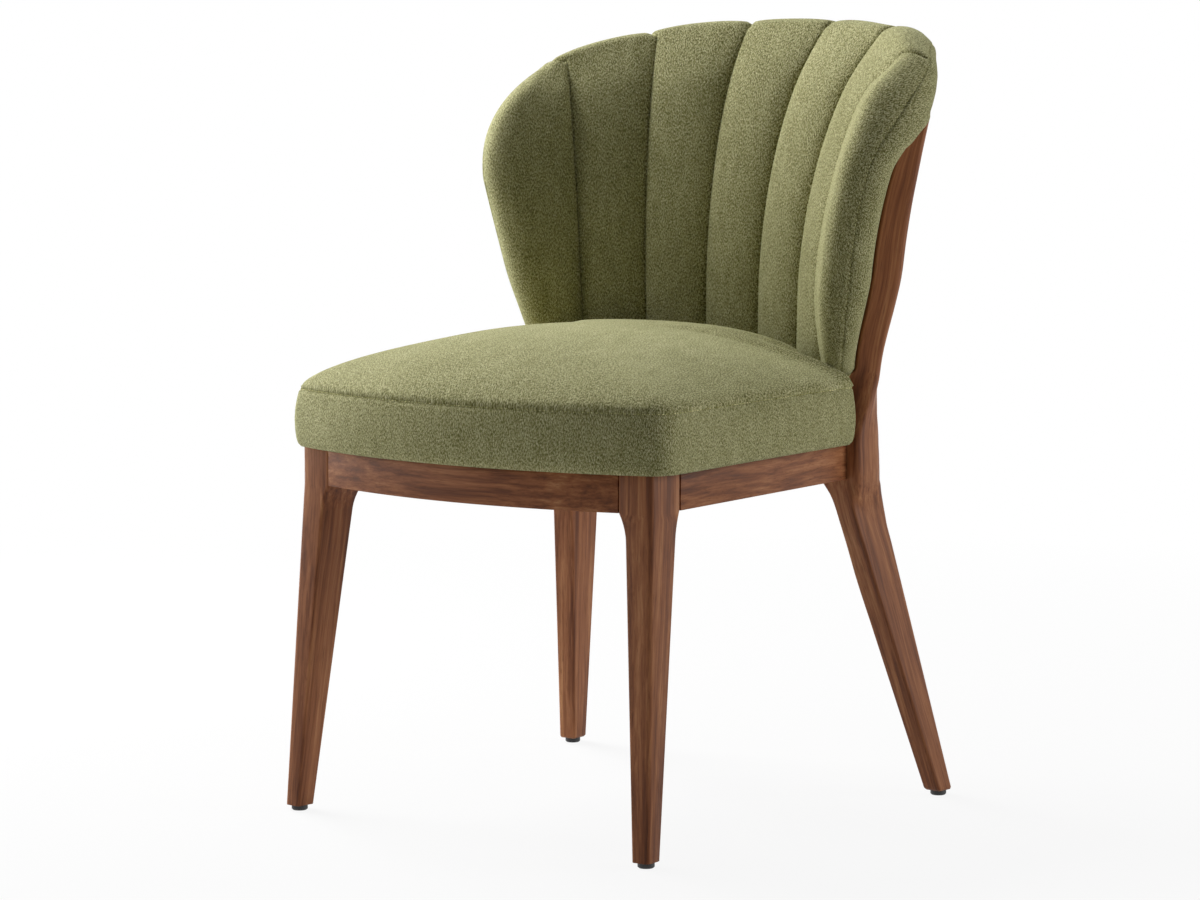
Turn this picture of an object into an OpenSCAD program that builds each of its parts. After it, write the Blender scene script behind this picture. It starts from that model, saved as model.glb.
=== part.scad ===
// Dining chair with a channelled barrel back and a boxed, crowned seat cushion.
// Sizes are in millimetres. The chair faces -Y and stands on Z = 0.
// Left and right are named as a person standing in front of the chair sees them.

/* [Seat frame] */
// Height of the top edge of the seat rails above the floor
rail_top = 370; // [340:1:400]
// Height of every seat rail
rail_h = 37; // [30:1:44]
// Thickness of every seat rail
rail_t = 22; // [18:1:26]
// Length of the front rail between the two front legs
front_rail_len = 368; // [340:1:400]
// How far the front rail bows forward at its middle
front_bow = 30; // [15:1:40]
// Length of a side rail along its outer face
side_rail_len = 316; // [290:1:340]
// Angle by which each side rail runs inwards towards the back
side_angle = 5; // [2:0.5:8]

/* [Front legs] */
// Width of a front leg's top block across its front face
front_block_w = 38.5; // [32:1:44]
// Depth of a front leg's top block along the side rail
front_block_d = 50.5; // [44:1:60]
// Width of a front leg at the foot
front_foot_w = 19; // [16:0.5:24]
// Depth of a front leg at the foot
front_foot_d = 22.5; // [18:0.5:30]
// How far a front foot stands outside the top of its leg
front_splay_x = 17.5; // [5:1:30]
// How far a front foot stands ahead of the top of its leg
front_splay_y = 30; // [10:1:45]
// How far the top block stands out of the leg on its inner face
notch_inner = 7; // [3:0.5:9]
// How far the top block stands out of the leg on its rear face
notch_rear = 4.5; // [2:0.5:8]
// Radius of a front leg's outer front corner
front_corner_r = 5; // [4:0.5:9]

/* [Rear legs] */
// Thickness of a rear leg just below the seat
rear_leg_w = 28; // [22:1:30]
// Depth of a rear leg just below the seat
rear_leg_d = 54; // [44:1:58]
// Width of a rear leg at the foot
rear_foot_w = 20.5; // [17:0.5:24]
// Depth of a rear leg at the foot
rear_foot_d = 23.5; // [18:0.5:30]
// How far a rear foot stands outside the knee of its leg
rear_splay_x = 63.5; // [40:1:80]
// How far a rear foot stands behind the knee of its leg
rear_splay_y = 73; // [40:1:90]
// How far the leg stands out beyond the outer face of the side rail
rear_proud = 18; // [10:1:22]
// Radial thickness of the upright that carries the back
upright_w = 27.5; // [24:0.5:32]
// Width of the upright along the back
upright_d = 27; // [22:1:32]
// Direction of each upright around the back, from straight behind
upright_az = 41.5; // [38:0.5:44]
// Height of the upright's pointed outer tip
upright_tip = 694; // [670:1:705]
// How far the slanted top of the upright falls towards the back
upright_slant = 42; // [20:1:50]
// Height of the haunches that widen the legs under the rails
haunch_h = 27; // [18:1:36]

/* [Glides] */
// Diameter of a nylon glide
glide_dia = 16.4; // [14:0.2:17]
// Height of a nylon glide
glide_h = 5.5; // [4:0.5:8]
// Diameter of the nail that holds a glide
glide_nail_dia = 3; // [2:0.2:4]
// Length of the nail above the glide
glide_nail_len = 16; // [10:1:24]

/* [Seat] */
// Thickness of the plywood seat panel
panel_t = 12; // [9:1:15]
// How far the cushion overhangs the outer faces of the frame
seat_overhang = 16; // [10:1:18]
// Height of the boxed side of the cushion, from the rails to its top seam
box_h = 58; // [45:1:65]
// Rise of the crown above the top seam
crown_h = 67; // [45:1:75]
// Radius of the cushion's front corners
seat_corner_r = 12; // [12:1:40]
// Thickness of the cover and its wadding
cover_t = 2; // [1.5:0.5:3]
// Width of the cover's turned-in edge under the panel
cover_turn = 26; // [18:1:34]
// Thickness of the dust cloth
dust_t = 1; // [0.8:0.2:2]

/* [Back] */
// How much the radius of the back exceeds the frame's half width at the rear legs
back_r_extra = 55; // [48:1:58]
// How far the centre of the back's curve lies ahead of the rear legs
back_axis_ahead = 180; // [176:1:186]
// Height of the lower edge of the back above the rails
back_low = 68; // [64:1:76]
// Height of the highest point of the back's stitched surface
back_high = 790; // [775:1:800]
// Backward lean of the back at its top
back_lean = 82; // [60:1:92]
// Extra outward flare of the back's top edge
back_flare = 24; // [10:1:32]
// Number of channels
channels = 7; // [7]
// Angle that one channel spans
channel_pitch = 16.6; // [15.6:0.1:17]
// How far a channel swells out of its seams
channel_swell = 13; // [6:1:16]
// Widest reach of the wings, from straight behind
wing_az = 58.3; // [54:0.1:60]
// Reach of the wings at their lower end
wing_az_low = 48.5; // [47:0.5:51]
// Height at which the wings reach furthest forward
wing_z = 640; // [620:1:655]
// Thickness of the bent plywood shell
shell_t = 10; // [8:1:12]
// Thickness of the padded outside panel
outside_t = 6; // [5:1:8]
// Depth from the seams to the outside of the back at its lower edge
back_depth_low = 26; // [24:1:30]
// Depth from the seams to the outside of the back from mid height up
back_depth_high = 42; // [38:1:46]

/* [Fastenings] */
// Diameter of a rail dowel
dowel_dia = 8; // [6:1:10]
// Length of a rail dowel
dowel_len = 36; // [28:1:40]
// Diameter of the wood screws
screw_dia = 4; // [3:0.5:5]
// Diameter of the bolts between the uprights and the shell
bolt_dia = 6; // [5:1:8]
// Clearance all round a dowel, screw, nail or bolt
fit_gap = 0.1; // [0.05:0.05:0.3]
// Clearance between parts that lie on each other without a fit
rest_gap = 0.3; // [0.2:0.05:0.5]

/* [Hidden] */

walnut = [0.36, 0.20, 0.12];
green = [0.44, 0.46, 0.29];
ply = [0.78, 0.64, 0.45];
nylon = [0.10, 0.10, 0.10];
steel = [0.62, 0.62, 0.62];
foam = [0.90, 0.86, 0.70];

rail_bottom = rail_top - rail_h;
e1 = [cos(side_angle), sin(side_angle)];
e2 = [-sin(side_angle), cos(side_angle)];

// Corners of the seat frame on the right: the front rail meets the front leg at j1,
// the side rail meets the front leg at j3 and the rear leg at j4.
j1 = [front_rail_len / 2, 5];
j3 = j1 + front_block_w * e1 + front_block_d * e2;
j4 = j3 + side_rail_len * e2;

// The bowed front rail is an arc whose centre lies on the middle line.
bow_half = front_rail_len / 2;
bow_r = (bow_half * bow_half + front_bow * front_bow) / (2 * front_bow);
bow_y = j1[1] - front_bow + bow_r;

// The back is turned about a vertical axis on the middle line.
back_axis = [0, j4[1] - back_axis_ahead];
back_r = j4[0] + back_r_extra;
back_z0 = rail_top + back_low;
flare_z0 = rail_top + 130;
flare_span = 300;
back_end_drop = 34;
seam_fan = 0.07;
wing_az_top = channel_pitch * 2.5 * (1 + seam_fan / 2) + 0.9;
edge_top_z = back_high - back_end_drop;

function lerp(a, b, t) = a + (b - a) * t;
function clamp01(t) = max(0, min(1, t));
function smooth(t) = clamp01(t) * clamp01(t) * (3 - 2 * clamp01(t));

// Radius of the stitched surface of the back at height z
function flare(z) = max(0, (z - flare_z0) / flare_span);
function back_prof(z) = back_r + back_lean * pow(flare(z), 2) + back_flare * pow(flare(z), 6);
function back_slope(z) = atan((2 * back_lean * flare(z) + 6 * back_flare * pow(flare(z), 5)) / flare_span);
// Depth from that surface to the outside of the back
function back_depth(z) = lerp(back_depth_low, back_depth_high, smooth((z - back_z0) / 110));
// Direction of the edge of the wing at height z
function wing_edge(z) = z > wing_z
    ? wing_az - (wing_az - wing_az_top) * pow((z - wing_z) / (edge_top_z - wing_z), 2.05)
    : wing_az - (wing_az - wing_az_low) * pow((wing_z - z) / (wing_z - back_z0), 1.2);
function level_z(az, b) = lerp(back_z0, top_z(az), b);
back_levels = [0.12, 0.26, 0.40, 0.53, 0.65, 0.76, 0.85, 0.91];
// A point of the back: az around the axis, z up, depth out of the stitched surface,
// rise along the surface beyond its edge and side beyond the wing
function back_point(az, z, depth, rise = 0, side = 0) =
    let (s = back_slope(z),
        r = back_prof(z) + depth * cos(s) + rise * sin(s),
        up = z - depth * sin(s) + rise * cos(s))
    [back_axis[0] + r * sin(az) + side * cos(az),
        back_axis[1] + r * cos(az) - side * sin(az), up];

// Closed skin through a list of rings that all have the same number of points
module loft(rings) {
    n = len(rings[0]);
    last = len(rings) - 1;
    points = [for (ring = rings) for (p = ring) p];
    sides = [for (i = [0 : last - 1]) for (j = [0 : n - 1])
        for (t = [0, 1])
            t == 0 ? [i * n + j, (i + 1) * n + j, (i + 1) * n + (j + 1) % n]
                : [i * n + j, (i + 1) * n + (j + 1) % n, i * n + (j + 1) % n]];
    bottom = [for (j = [0 : n - 1]) j];
    top = [for (j = [n - 1 : -1 : 0]) last * n + j];
    polyhedron(points, concat([bottom], sides, [top]), convexity = 10);
}

// Outline of a leg: a rectangle w by d turned by a, with one radius for each corner,
// in the order front inner, front outer, rear outer, rear inner
corner_steps = 4;
function leg_ring(cx, cy, w, d, a, r) =
    [for (k = [0 : 3]) for (i = [0 : corner_steps])
        let (sx = [-1, 1, 1, -1][k],
            sy = [-1, -1, 1, 1][k],
            b = 180 + 90 * k + 90 * i / corner_steps,
            x = sx * (w / 2 - r[k]) + r[k] * cos(b),
            y = sy * (d / 2 - r[k]) + r[k] * sin(b))
        [cx + x * cos(a) - y * sin(a), cy + x * sin(a) + y * cos(a)]];
function at_z(ring, z) = [for (p = ring) [p[0], p[1], z]];

// Front leg, right. Its outer faces run straight up into the block,
// while the inner and rear faces swell out to the block in a short curve.
front_top_w = front_block_w - notch_inner;
front_top_d = front_block_d - notch_rear;
front_top = j1 + (notch_inner + front_top_w / 2) * e1 + front_top_d / 2 * e2;
front_foot = front_top + [front_splay_x, -front_splay_y];
function front_section(z) =
    let (t = clamp01((z - glide_h) / (rail_bottom - glide_h)),
        s = pow(clamp01((z - rail_bottom + haunch_h) / haunch_h), 2),
        w = lerp(front_foot_w, front_top_w, t) + notch_inner * s,
        d = lerp(front_foot_d, front_top_d, t) + notch_rear * s,
        c = lerp(front_foot, front_top, t) - notch_inner / 2 * s * e1 + notch_rear / 2 * s * e2,
        r = lerp(4, front_corner_r, t))
    at_z(leg_ring(c[0], c[1], w, d, side_angle, [3, r, 4, 3]), z);
front_levels = concat([for (i = [0 : 4]) lerp(glide_h, rail_bottom - haunch_h, i / 4)],
    [for (i = [1 : 5]) rail_bottom - haunch_h + haunch_h * i / 5], [rail_top]);

module front_leg(side) {
    foot = front_foot;
    color(walnut) mirror([side < 0 ? 1 : 0, 0, 0]) difference() {
        loft([for (z = front_levels) front_section(z)]);
        translate([foot[0], foot[1], glide_h - 1])
            cylinder(d = glide_nail_dia + 2 * fit_gap, h = glide_nail_len + 2, $fn = 24);
        front_rail_dowels(fit_gap);
        side_rail_dowels(fit_gap, 0);
    }
}

// Rear leg, right, in one piece with the upright. Below the rail it is a plain taper,
// at the rail it widens into a block, and above it twists to lie flat on the shell.
knee = j4 + [rear_proud - 29, rear_leg_d / 2 - 5];
rear_foot = knee + [rear_splay_x, rear_splay_y];
rear_foot_turn = -4;
block_in = rail_t + 5;
block_d = rear_leg_d - 2;
// The block narrows upwards on its outer and rear faces.
block_taper = 4;
function block_off(z) = block_taper * clamp01((z - rail_bottom) / rail_h);
function block_w_at(z) = rear_proud + block_in - block_off(z);
function block_d_at(z) = block_d - block_off(z);
function block_at(z) = j4 + [rear_proud - block_w_at(z) / 2 - block_off(z), block_d_at(z) / 2];
upright_z0 = rail_top + 75;
back_seat_gap = 0.7;
// The upright is thickest at its middle, because its outer face is straighter than the back.
function upright_t(z) =
    let (t = clamp01((z - upright_z0) / (upright_tip - upright_z0)))
    upright_w + 5 * sin(180 * t) - 3.5 * pow(t, 4);
function upright_center(z) =
    let (zz = max(z, upright_z0),
        r = back_prof(zz) + back_depth(zz) / cos(back_slope(zz)) + back_seat_gap + upright_t(zz) / 2)
    [back_axis[0] + r * sin(upright_az), back_axis[1] + r * cos(upright_az)];
function rear_section(z) =
    z <= rail_bottom - haunch_h ?
        let (t = (z - glide_h) / (rail_bottom - glide_h), c = lerp(rear_foot, knee, t))
        leg_ring(c[0], c[1], lerp(rear_foot_w, rear_leg_w, t), lerp(rear_foot_d, rear_leg_d, t),
            rear_foot_turn, [3, 4, 5, 3])
    : z <= rail_bottom ?
        let (t = (z - glide_h) / (rail_bottom - glide_h), c = lerp(rear_foot, knee, t),
            s = pow((z - rail_bottom + haunch_h) / haunch_h, 2),
            m = lerp(c, block_at(z), s))
        leg_ring(m[0], m[1], lerp(lerp(rear_foot_w, rear_leg_w, t), block_w_at(z), s),
            lerp(lerp(rear_foot_d, rear_leg_d, t), block_d_at(z), s), lerp(rear_foot_turn, 0, s),
            [3, 4, lerp(5, 20, s), lerp(3, 6, s)])
    : z <= rail_top ?
        let (m = block_at(z)) leg_ring(m[0], m[1], block_w_at(z), block_d_at(z), 0, [3, 4, 20, 6])
    :
        let (s = pow(smooth((z - rail_top) / (upright_z0 - rail_top)), 0.75),
            c = lerp(block_at(z), upright_center(z), s))
        leg_ring(c[0], c[1], lerp(block_w_at(z), upright_t(z), s), lerp(block_d_at(z), upright_d, s),
            lerp(0, 90 - upright_az, s), [4, lerp(4, 8, s), lerp(20, 6, s), lerp(6, 4, s)]);
rear_levels = concat([for (i = [0 : 4]) lerp(glide_h, rail_bottom - haunch_h, i / 4)],
    [for (i = [1 : 4]) rail_bottom - haunch_h + haunch_h * i / 4],
    [for (i = [0 : 6]) lerp(rail_top, upright_z0, i / 6)],
    [for (b = back_levels) let (z = level_z(upright_az, b))
        if (z > upright_z0 && z < upright_tip - upright_slant - 6) z]);
// The top is cut on a slant that falls towards the shell.
function upright_end() =
    let (zm = upright_tip - upright_slant / 2,
        c = upright_center(zm),
        lean = upright_center(zm + 1) - c,
        dir = [sin(upright_az), cos(upright_az)])
    [for (p = rear_section(zm))
        let (u = (p - c) * dir / (upright_t(zm) / 2), dz = u * upright_slant / 2)
        [p[0] + lean[0] * dz, p[1] + lean[1] * dz, zm + dz]];

module rear_leg(side) {
    color(walnut) mirror([side < 0 ? 1 : 0, 0, 0]) difference() {
        loft(concat([for (z = rear_levels) at_z(rear_section(z), z)], [upright_end()]));
        translate([rear_foot[0], rear_foot[1], glide_h - 1])
            cylinder(d = glide_nail_dia + 2 * fit_gap, h = glide_nail_len + 2, $fn = 24);
        side_rail_dowels(fit_gap, 1);
        rear_rail_dowels(fit_gap);
        upright_bolts(fit_gap, true);
    }
}

// Rails
module front_rail() {
    color(walnut) difference() {
        translate([0, bow_y, rail_bottom]) intersection() {
            difference() {
                cylinder(r = bow_r, h = rail_h, $fn = 360);
                translate([0, 0, -1]) cylinder(r = bow_r - rail_t, h = rail_h + 2, $fn = 360);
            }
            translate([-j1[0], -bow_r - 1, -1]) cube([front_rail_len, bow_r, rail_h + 2]);
        }
        front_cheek(1);
        front_cheek(-1);
        front_rail_dowels(fit_gap);
        mirror([1, 0, 0]) front_rail_dowels(fit_gap);
        block_screws("front", true);
    }
}
// The leg's inner face is square to the side rail, so the front rail is cut to match it.
module front_cheek(side) {
    mirror([side < 0 ? 1 : 0, 0, 0]) translate([j1[0], j1[1], rail_bottom - 1])
        rotate(side_angle) translate([0, -60, 0]) cube([80, 160, rail_h + 2]);
}
side_plan = [j3, j3 - rail_t * e1, [j4[0] - rail_t / cos(side_angle), j4[1]], j4];
module side_rail(side) {
    color(walnut) difference() {
        mirror([side < 0 ? 1 : 0, 0, 0]) difference() {
            translate([0, 0, rail_bottom]) linear_extrude(rail_h) polygon(side_plan);
            side_rail_dowels(fit_gap, 0);
            side_rail_dowels(fit_gap, 1);
        }
        block_screws("side", true);
    }
}
rear_rail_y = j4[1] + 12;
rear_rail_half = j4[0] - block_in;
module rear_rail() {
    color(walnut) difference() {
        translate([-rear_rail_half, rear_rail_y, rail_bottom]) cube([2 * rear_rail_half, rail_t, rail_h]);
        rear_rail_dowels(fit_gap);
        mirror([1, 0, 0]) rear_rail_dowels(fit_gap);
        block_screws("rear", true);
    }
}

// Dowels: two in each joint, one above the other, half in the rail and half in the leg
dowel_z = [rail_bottom + rail_h * 0.27, rail_bottom + rail_h * 0.73];
module dowel_pair(pos, dir, gap) {
    for (z = dowel_z)
        translate([pos[0], pos[1], z]) rotate([0, 90, dir])
            translate([0, 0, -dowel_len / 2 - gap * 5])
                cylinder(d = dowel_dia + 2 * gap, h = dowel_len + gap * 10, $fn = 32);
}
module front_rail_dowels(gap) {
    dowel_pair(j1 + rail_t / 2 * e2, side_angle, gap);
}
module side_rail_dowels(gap, end) {
    if (end == 0) dowel_pair(j3 - rail_t / 2 * e1, 90 + side_angle, gap);
    else dowel_pair(j4 - [rail_t / 2 + 1, 0], 90 + side_angle / 2, gap);
}
module rear_rail_dowels(gap) {
    dowel_pair([rear_rail_half, rear_rail_y + rail_t / 2], 0, gap);
}
module rail_dowels() {
    color(ply) for (side = [0, 1]) mirror([side, 0, 0]) {
        front_rail_dowels(0);
        side_rail_dowels(0, 0);
        side_rail_dowels(0, 1);
        rear_rail_dowels(0);
    }
}

// Corner blocks, notched round the legs and glued and screwed across the corners
block_leg = 75;
block_z0 = rail_bottom + 4;
block_h = rail_h - 4 - dust_t - 2 * rest_gap;
touch = 0.1;
function front_rail_inner(x) = bow_y - sqrt(pow(bow_r - rail_t - touch, 2) - x * x);
front_block_x = j1[0] - block_leg;
front_block_plan = [[front_block_x, front_rail_inner(front_block_x)],
    [j1[0] - 8, front_rail_inner(j1[0] - 8)],
    j1 - touch * e1 + (front_block_d + touch) * e2,
    j3 - (rail_t + touch) * e1 + touch * e2,
    j3 - (rail_t + touch) * e1 + block_leg * e2];
rear_block_plan = [[rear_rail_half - block_leg, rear_rail_y - touch],
    j4 - (rail_t + touch) * e1 - block_leg * e2,
    j4 - (rail_t + touch) * e1 - touch * e2,
    [rear_rail_half - touch, j4[1] - touch],
    [rear_rail_half - touch, rear_rail_y - touch]];
module corner_block(plan, side) {
    color(ply) difference() {
        mirror([side < 0 ? 1 : 0, 0, 0])
            translate([0, 0, block_z0]) linear_extrude(block_h) polygon(plan);
        block_screws("all", true);
        seat_screw_set(true);
    }
}

// A wood screw along +Z: the point is at 0, the head at the far end
module screw(len, gap, pocket) {
    cylinder(d = screw_dia + 2 * gap, h = len, $fn = 24);
    translate([0, 0, len - 0.01]) cylinder(d = 2 * screw_dia + 2 * gap, h = 2.5 + pocket, $fn = 24);
}
screw_bite = 14;
screw_back = 12;
screw_z = block_z0 + block_h / 2;
module side_screw(pos, turn, hole) {
    translate([pos[0], pos[1], screw_z]) rotate([0, 90, turn])
        translate([0, 0, -screw_bite]) screw(screw_bite + screw_back, hole ? fit_gap : 0, hole ? 60 : 0);
}
front_screw_x = j1[0] - 42;
module block_screws(where, hole) {
    for (m = [0, 1]) mirror([m, 0, 0]) {
        if (where != "side" && where != "rear")
            side_screw([front_screw_x, front_rail_inner(front_screw_x)], 90, hole);
        if (where != "front" && where != "rear") {
            side_screw(j3 - rail_t * e1 + 36 * e2, 180 + side_angle, hole);
            side_screw(j4 - rail_t * e1 - 38 * e2, 180 + side_angle, hole);
        }
        if (where != "front" && where != "side")
            side_screw([rear_rail_half - 20, rear_rail_y], -90, hole);
    }
}
module corner_block_screws() { color(steel) block_screws("all", false); }

// The seat panel is held down by one long screw through each corner block.
front_seat_screw = j1 + [-17, front_block_d + 1];
rear_seat_screw = [rear_rail_half - 38, rear_rail_y - 29];
panel_z0 = rail_top + rest_gap + cover_t + rest_gap;
module seat_screw_set(hole) {
    len = panel_z0 + panel_t - 3 - block_z0;
    for (m = [0, 1]) mirror([m, 0, 0]) for (p = [front_seat_screw, rear_seat_screw])
        translate([p[0], p[1], panel_z0 + panel_t - 3]) mirror([0, 0, 1])
            screw(len, hole ? fit_gap : 0, hole ? 10 : 0);
}
module seat_screws() { color(steel) seat_screw_set(false); }

// Plan of the seat, right half from the front middle to the rear middle.
// over is the overhang beyond the frame, r the corner radius, back the rear overhang
// and gap the distance from the rear legs.
leg_gap = 3;
function seat_half(over, r, back, gap) =
    let (ra = bow_r + over,
        u = j3 * e1 + over,
        u0 = bow_y * sin(side_angle),
        v0 = bow_y * cos(side_angle),
        v = v0 - sqrt(pow(ra - r, 2) - pow(u - r - u0, 2)),
        c = (u - r) * e1 + v * e2,
        a = atan2(c[1] - bow_y, c[0]),
        y_end = j4[1] - gap,
        x_end = (u - y_end * sin(side_angle)) / cos(side_angle),
        rr = 18,
        x_in = rear_rail_half - gap,
        y_back = rear_rail_y + rail_t + back)
    concat([for (i = [0 : 4]) [0, bow_y] + ra * [cos(lerp(-90, a, i / 5)), sin(lerp(-90, a, i / 5))]],
        [for (i = [0 : 5]) c + r * [cos(lerp(a, side_angle, i / 5)), sin(lerp(a, side_angle, i / 5))]],
        [for (i = [1 : 5]) lerp(c + r * e1, [x_end, y_end - rr], i / 5.2)],
        [for (i = [0 : 3]) [x_end - rr + rr * cos(30 * i), y_end - rr + rr * sin(30 * i)]],
        [[x_in, y_end]],
        [for (i = [0 : 2]) [x_in - rr + rr * cos(45 * i), y_back - rr + rr * sin(45 * i)]],
        [for (i = [1 : 3]) [(x_in - rr) * (1 - i / 3), y_back]]);
function seat_plan(over, r, back, gap) =
    let (h = seat_half(over, r, back, gap), n = len(h))
    concat(h, [for (i = [n - 2 : -1 : 1]) [-h[i][0], h[i][1]]]);

seat_line = seat_plan(seat_overhang, seat_corner_r, 5, leg_gap);
panel_line = seat_plan(-3, seat_corner_r / 2, -3, leg_gap + 12);
// Above the boxed side the cushion tucks in ahead of the padded back.
tuck_r = back_r - channel_swell - 1.5;
function tuck_at(az) = lerp(tuck_r, tuck_r + 120, smooth((abs(az) - wing_az_low - 3) / 14));
function from_axis(p) = [p[0] - back_axis[0], p[1] - back_axis[1]];
function az_of(p) = atan2(from_axis(p)[0], from_axis(p)[1]);
function pull(p, inset) = let (d = from_axis(p), l = norm(d)) back_axis + d * ((l - inset) / l);
crown_line = [for (p = seat_line)
    let (l = norm(from_axis(p)), t = min(l, tuck_at(az_of(p)))) pull(p, l - t)];
seam_z = rail_top + box_h;
cover_z0 = rail_top + rest_gap;
lip = 5;
function crown_power(p) = lerp(0.25, 0.76, smooth((abs(az_of(p)) - 40) / 25));
// A ring of the crown at share t of the way in, drop below the outer surface
function crown_ring(t, drop) = [for (p = crown_line)
    let (q = pull(p, 3 + drop), d = from_axis(q) * (1 - t))
    [back_axis[0] + d[0], back_axis[1] + d[1],
        seam_z + lip - drop + (crown_h - lip) * pow(1 - pow(1 - t, 2), crown_power(p))]];
function side_ring(inset, z) = [for (p = seat_line) let (q = pull(p, inset)) [q[0], q[1], z]];
function panel_ring(grow, z) = [for (p = panel_line) let (q = pull(p, -grow)) [q[0], q[1], z]];

// Skin through rings with a point at each end,
// and the first flips bands of triangles slanted the other way
module capped_loft(start, rings, end, flips = 0) {
    n = len(rings[0]);
    m = len(rings);
    points = concat([start], [for (ring = rings) for (p = ring) p], [end]);
    last = len(points) - 1;
    first_fan = [for (j = [0 : n - 1]) [0, 1 + j, 1 + (j + 1) % n]];
    sides = [for (i = [0 : m - 2]) for (j = [0 : n - 1])
        let (k = (j + 1) % n,
            a = 1 + i * n + j, b = 1 + i * n + k,
            c = 1 + (i + 1) * n + k, d = 1 + (i + 1) * n + j)
        for (f = i < flips ? [[a, d, b], [b, d, c]] : [[a, d, c], [a, c, b]]) f];
    last_fan = [for (j = [0 : n - 1]) [last, 1 + (m - 1) * n + (j + 1) % n, 1 + (m - 1) * n + j]];
    polyhedron(points, concat(first_fan, sides, last_fan), convexity = 10);
}

module seat_panel() {
    color(ply) difference() {
        translate([0, 0, panel_z0]) linear_extrude(panel_t) polygon(panel_line);
        seat_screw_set(true);
    }
}
// The boxed side as pairs of inset and share of its height
side_shape = [[6, 0], [2, 0.12], [0.3, 0.32], [0, 0.52], [1.2, 0.76], [3, 0.92], [5, 1]];
function inner_rings(drop) = concat([side_ring(6 + drop, cover_z0 + drop)],
    [side_ring(0.3 + drop, lerp(cover_z0, seam_z, 0.32)), side_ring(3 + drop, seam_z - 6)],
    [for (t = [0, 0.08, 0.25, 0.55]) crown_ring(t, drop)]);
function inner_apex(drop) = [back_axis[0], back_axis[1], seam_z + crown_h - drop];
// One block of foam, hollowed underneath for the panel
module seat_foam() {
    drop = cover_t + rest_gap;
    top = panel_z0 + panel_t + rest_gap;
    color(foam) capped_loft([back_axis[0], back_axis[1], top],
        concat([panel_ring(1, top), panel_ring(1, cover_z0 + drop)], inner_rings(drop)),
        inner_apex(drop));
}
// The cover is turned in under the panel. A seam runs round between side and crown.
module seat_cover() {
    inner = inner_rings(cover_t);
    n = len(inner);
    color(green) capped_loft(inner_apex(cover_t),
        concat([for (i = [n - 1 : -1 : 0]) inner[i]],
            [panel_ring(-cover_turn, cover_z0 + cover_t), panel_ring(-cover_turn, cover_z0)],
            [for (k = side_shape) side_ring(k[0], lerp(cover_z0, seam_z, k[1]))],
            [for (t = [0, 0.03, 0.08, 0.16, 0.28, 0.45, 0.65, 0.85]) crown_ring(t, 0)]),
        inner_apex(0), n - 1);
}
// Thin cloth under the seat, with its corners cut off at the blocks
dust_half = [[0, front_rail_inner(0) + 1], [front_block_x - 3, front_rail_inner(front_block_x) + 1.5],
    j3 - (rail_t + 1.5) * e1 + (block_leg + 3) * e2,
    j4 - (rail_t + 1.5) * e1 - (block_leg + 3) * e2,
    [rear_rail_half - block_leg - 3, rear_rail_y - 1], [0, rear_rail_y - 1]];
module dust_cloth() {
    color(nylon) translate([0, 0, rail_top - dust_t])
        linear_extrude(dust_t) for (m = [0, 1]) mirror([m, 0, 0]) polygon(dust_half);
}

// Back. A column i of the padded face runs from the seat to the top edge.
// All layers share their levels, so that they lie on each other evenly.
per_channel = 4;
cols = channels * per_channel;
pad_depth_gap = outside_t + rest_gap;
shell_margin = 3.5;
shell_top = 0.955;
function edge_z(b) = lerp(back_z0, edge_top_z, b);
function seam_az(k, b) = k == 0 ? -wing_edge(edge_z(b)) : k == channels ? wing_edge(edge_z(b))
    : (k - channels / 2) * channel_pitch * (1 + seam_fan * (b - 0.5));
function top_z(az) = back_high - back_end_drop * pow(min(1, abs(az) / wing_az_top), 2.6);
function face_az(i, b) = let (j = min(channels - 1, floor(i / per_channel)))
    lerp(seam_az(j, b), seam_az(j + 1, b), (i - j * per_channel) / per_channel);
function swell(i, b) =
    let (j = min(channels - 1, floor(i / per_channel)),
        s = (i - j * per_channel) / per_channel,
        wide = clamp01((seam_az(j + 1, b) - seam_az(j, b)) / 9),
        q = j == 0 ? min(1, 2 * (1 - s)) : j == channels - 1 ? min(1, 2 * s) : 1 - abs(2 * s - 1),
        flat = 1 - 0.55 * smooth((b - 0.86) / 0.14))
    channel_swell * wide * flat * pow(1 - pow(1 - q, 2.2), 0.55);
function rear_az(i, b) =
    let (e = wing_edge(edge_z(b)), p = e - shell_margin)
    i == 0 ? -e : i == cols ? e : i <= 2 ? -p : i >= cols - 2 ? p
        : lerp(-p, p, (i - 2) / (cols - 4));
// One level of the pad: along the channels, round the wing, and back behind the foam.
// It is hollowed for the shell where pocket is true, and covers the outside panel's
// upper edge where over is true.
function pad_ring(b, keep, rise, pocket, over) =
    let (e = wing_edge(edge_z(b)), ze = level_z(e, b),
        behind = over ? 0 : pad_depth_gap,
        d0 = -swell(cols, b), d1 = back_depth(ze) - behind,
        m = (d0 + d1) / 2, h = (d1 - d0) / 2 * keep,
        reach = 1 - 0.4 * smooth((b - 0.8) / 0.2))
    concat([for (i = [0 : cols])
            let (a = face_az(i, b), z = level_z(a, b),
                f = -swell(i, b), g = back_depth(z) - behind, c = (f + g) / 2)
            back_point(a, z, c + (f - c) * keep, rise)],
        [for (t = [45, 90, 135]) back_point(e, ze, m - h * cos(t), rise, h * reach * sin(t))],
        [for (i = [cols : -1 : 0])
            let (a = rear_az(i, b), z = level_z(a, b),
                g = back_depth(z) - behind,
                k = pocket && i >= 2 && i <= cols - 2 ? g - shell_t - rest_gap : g,
                c = (g - channel_swell / 2) / 2)
            back_point(a, z, c + (k - c) * keep, rise)],
        [for (t = [135, 90, 45]) back_point(-e, ze, m - h * cos(t), rise, -h * reach * sin(t))]);
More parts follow.
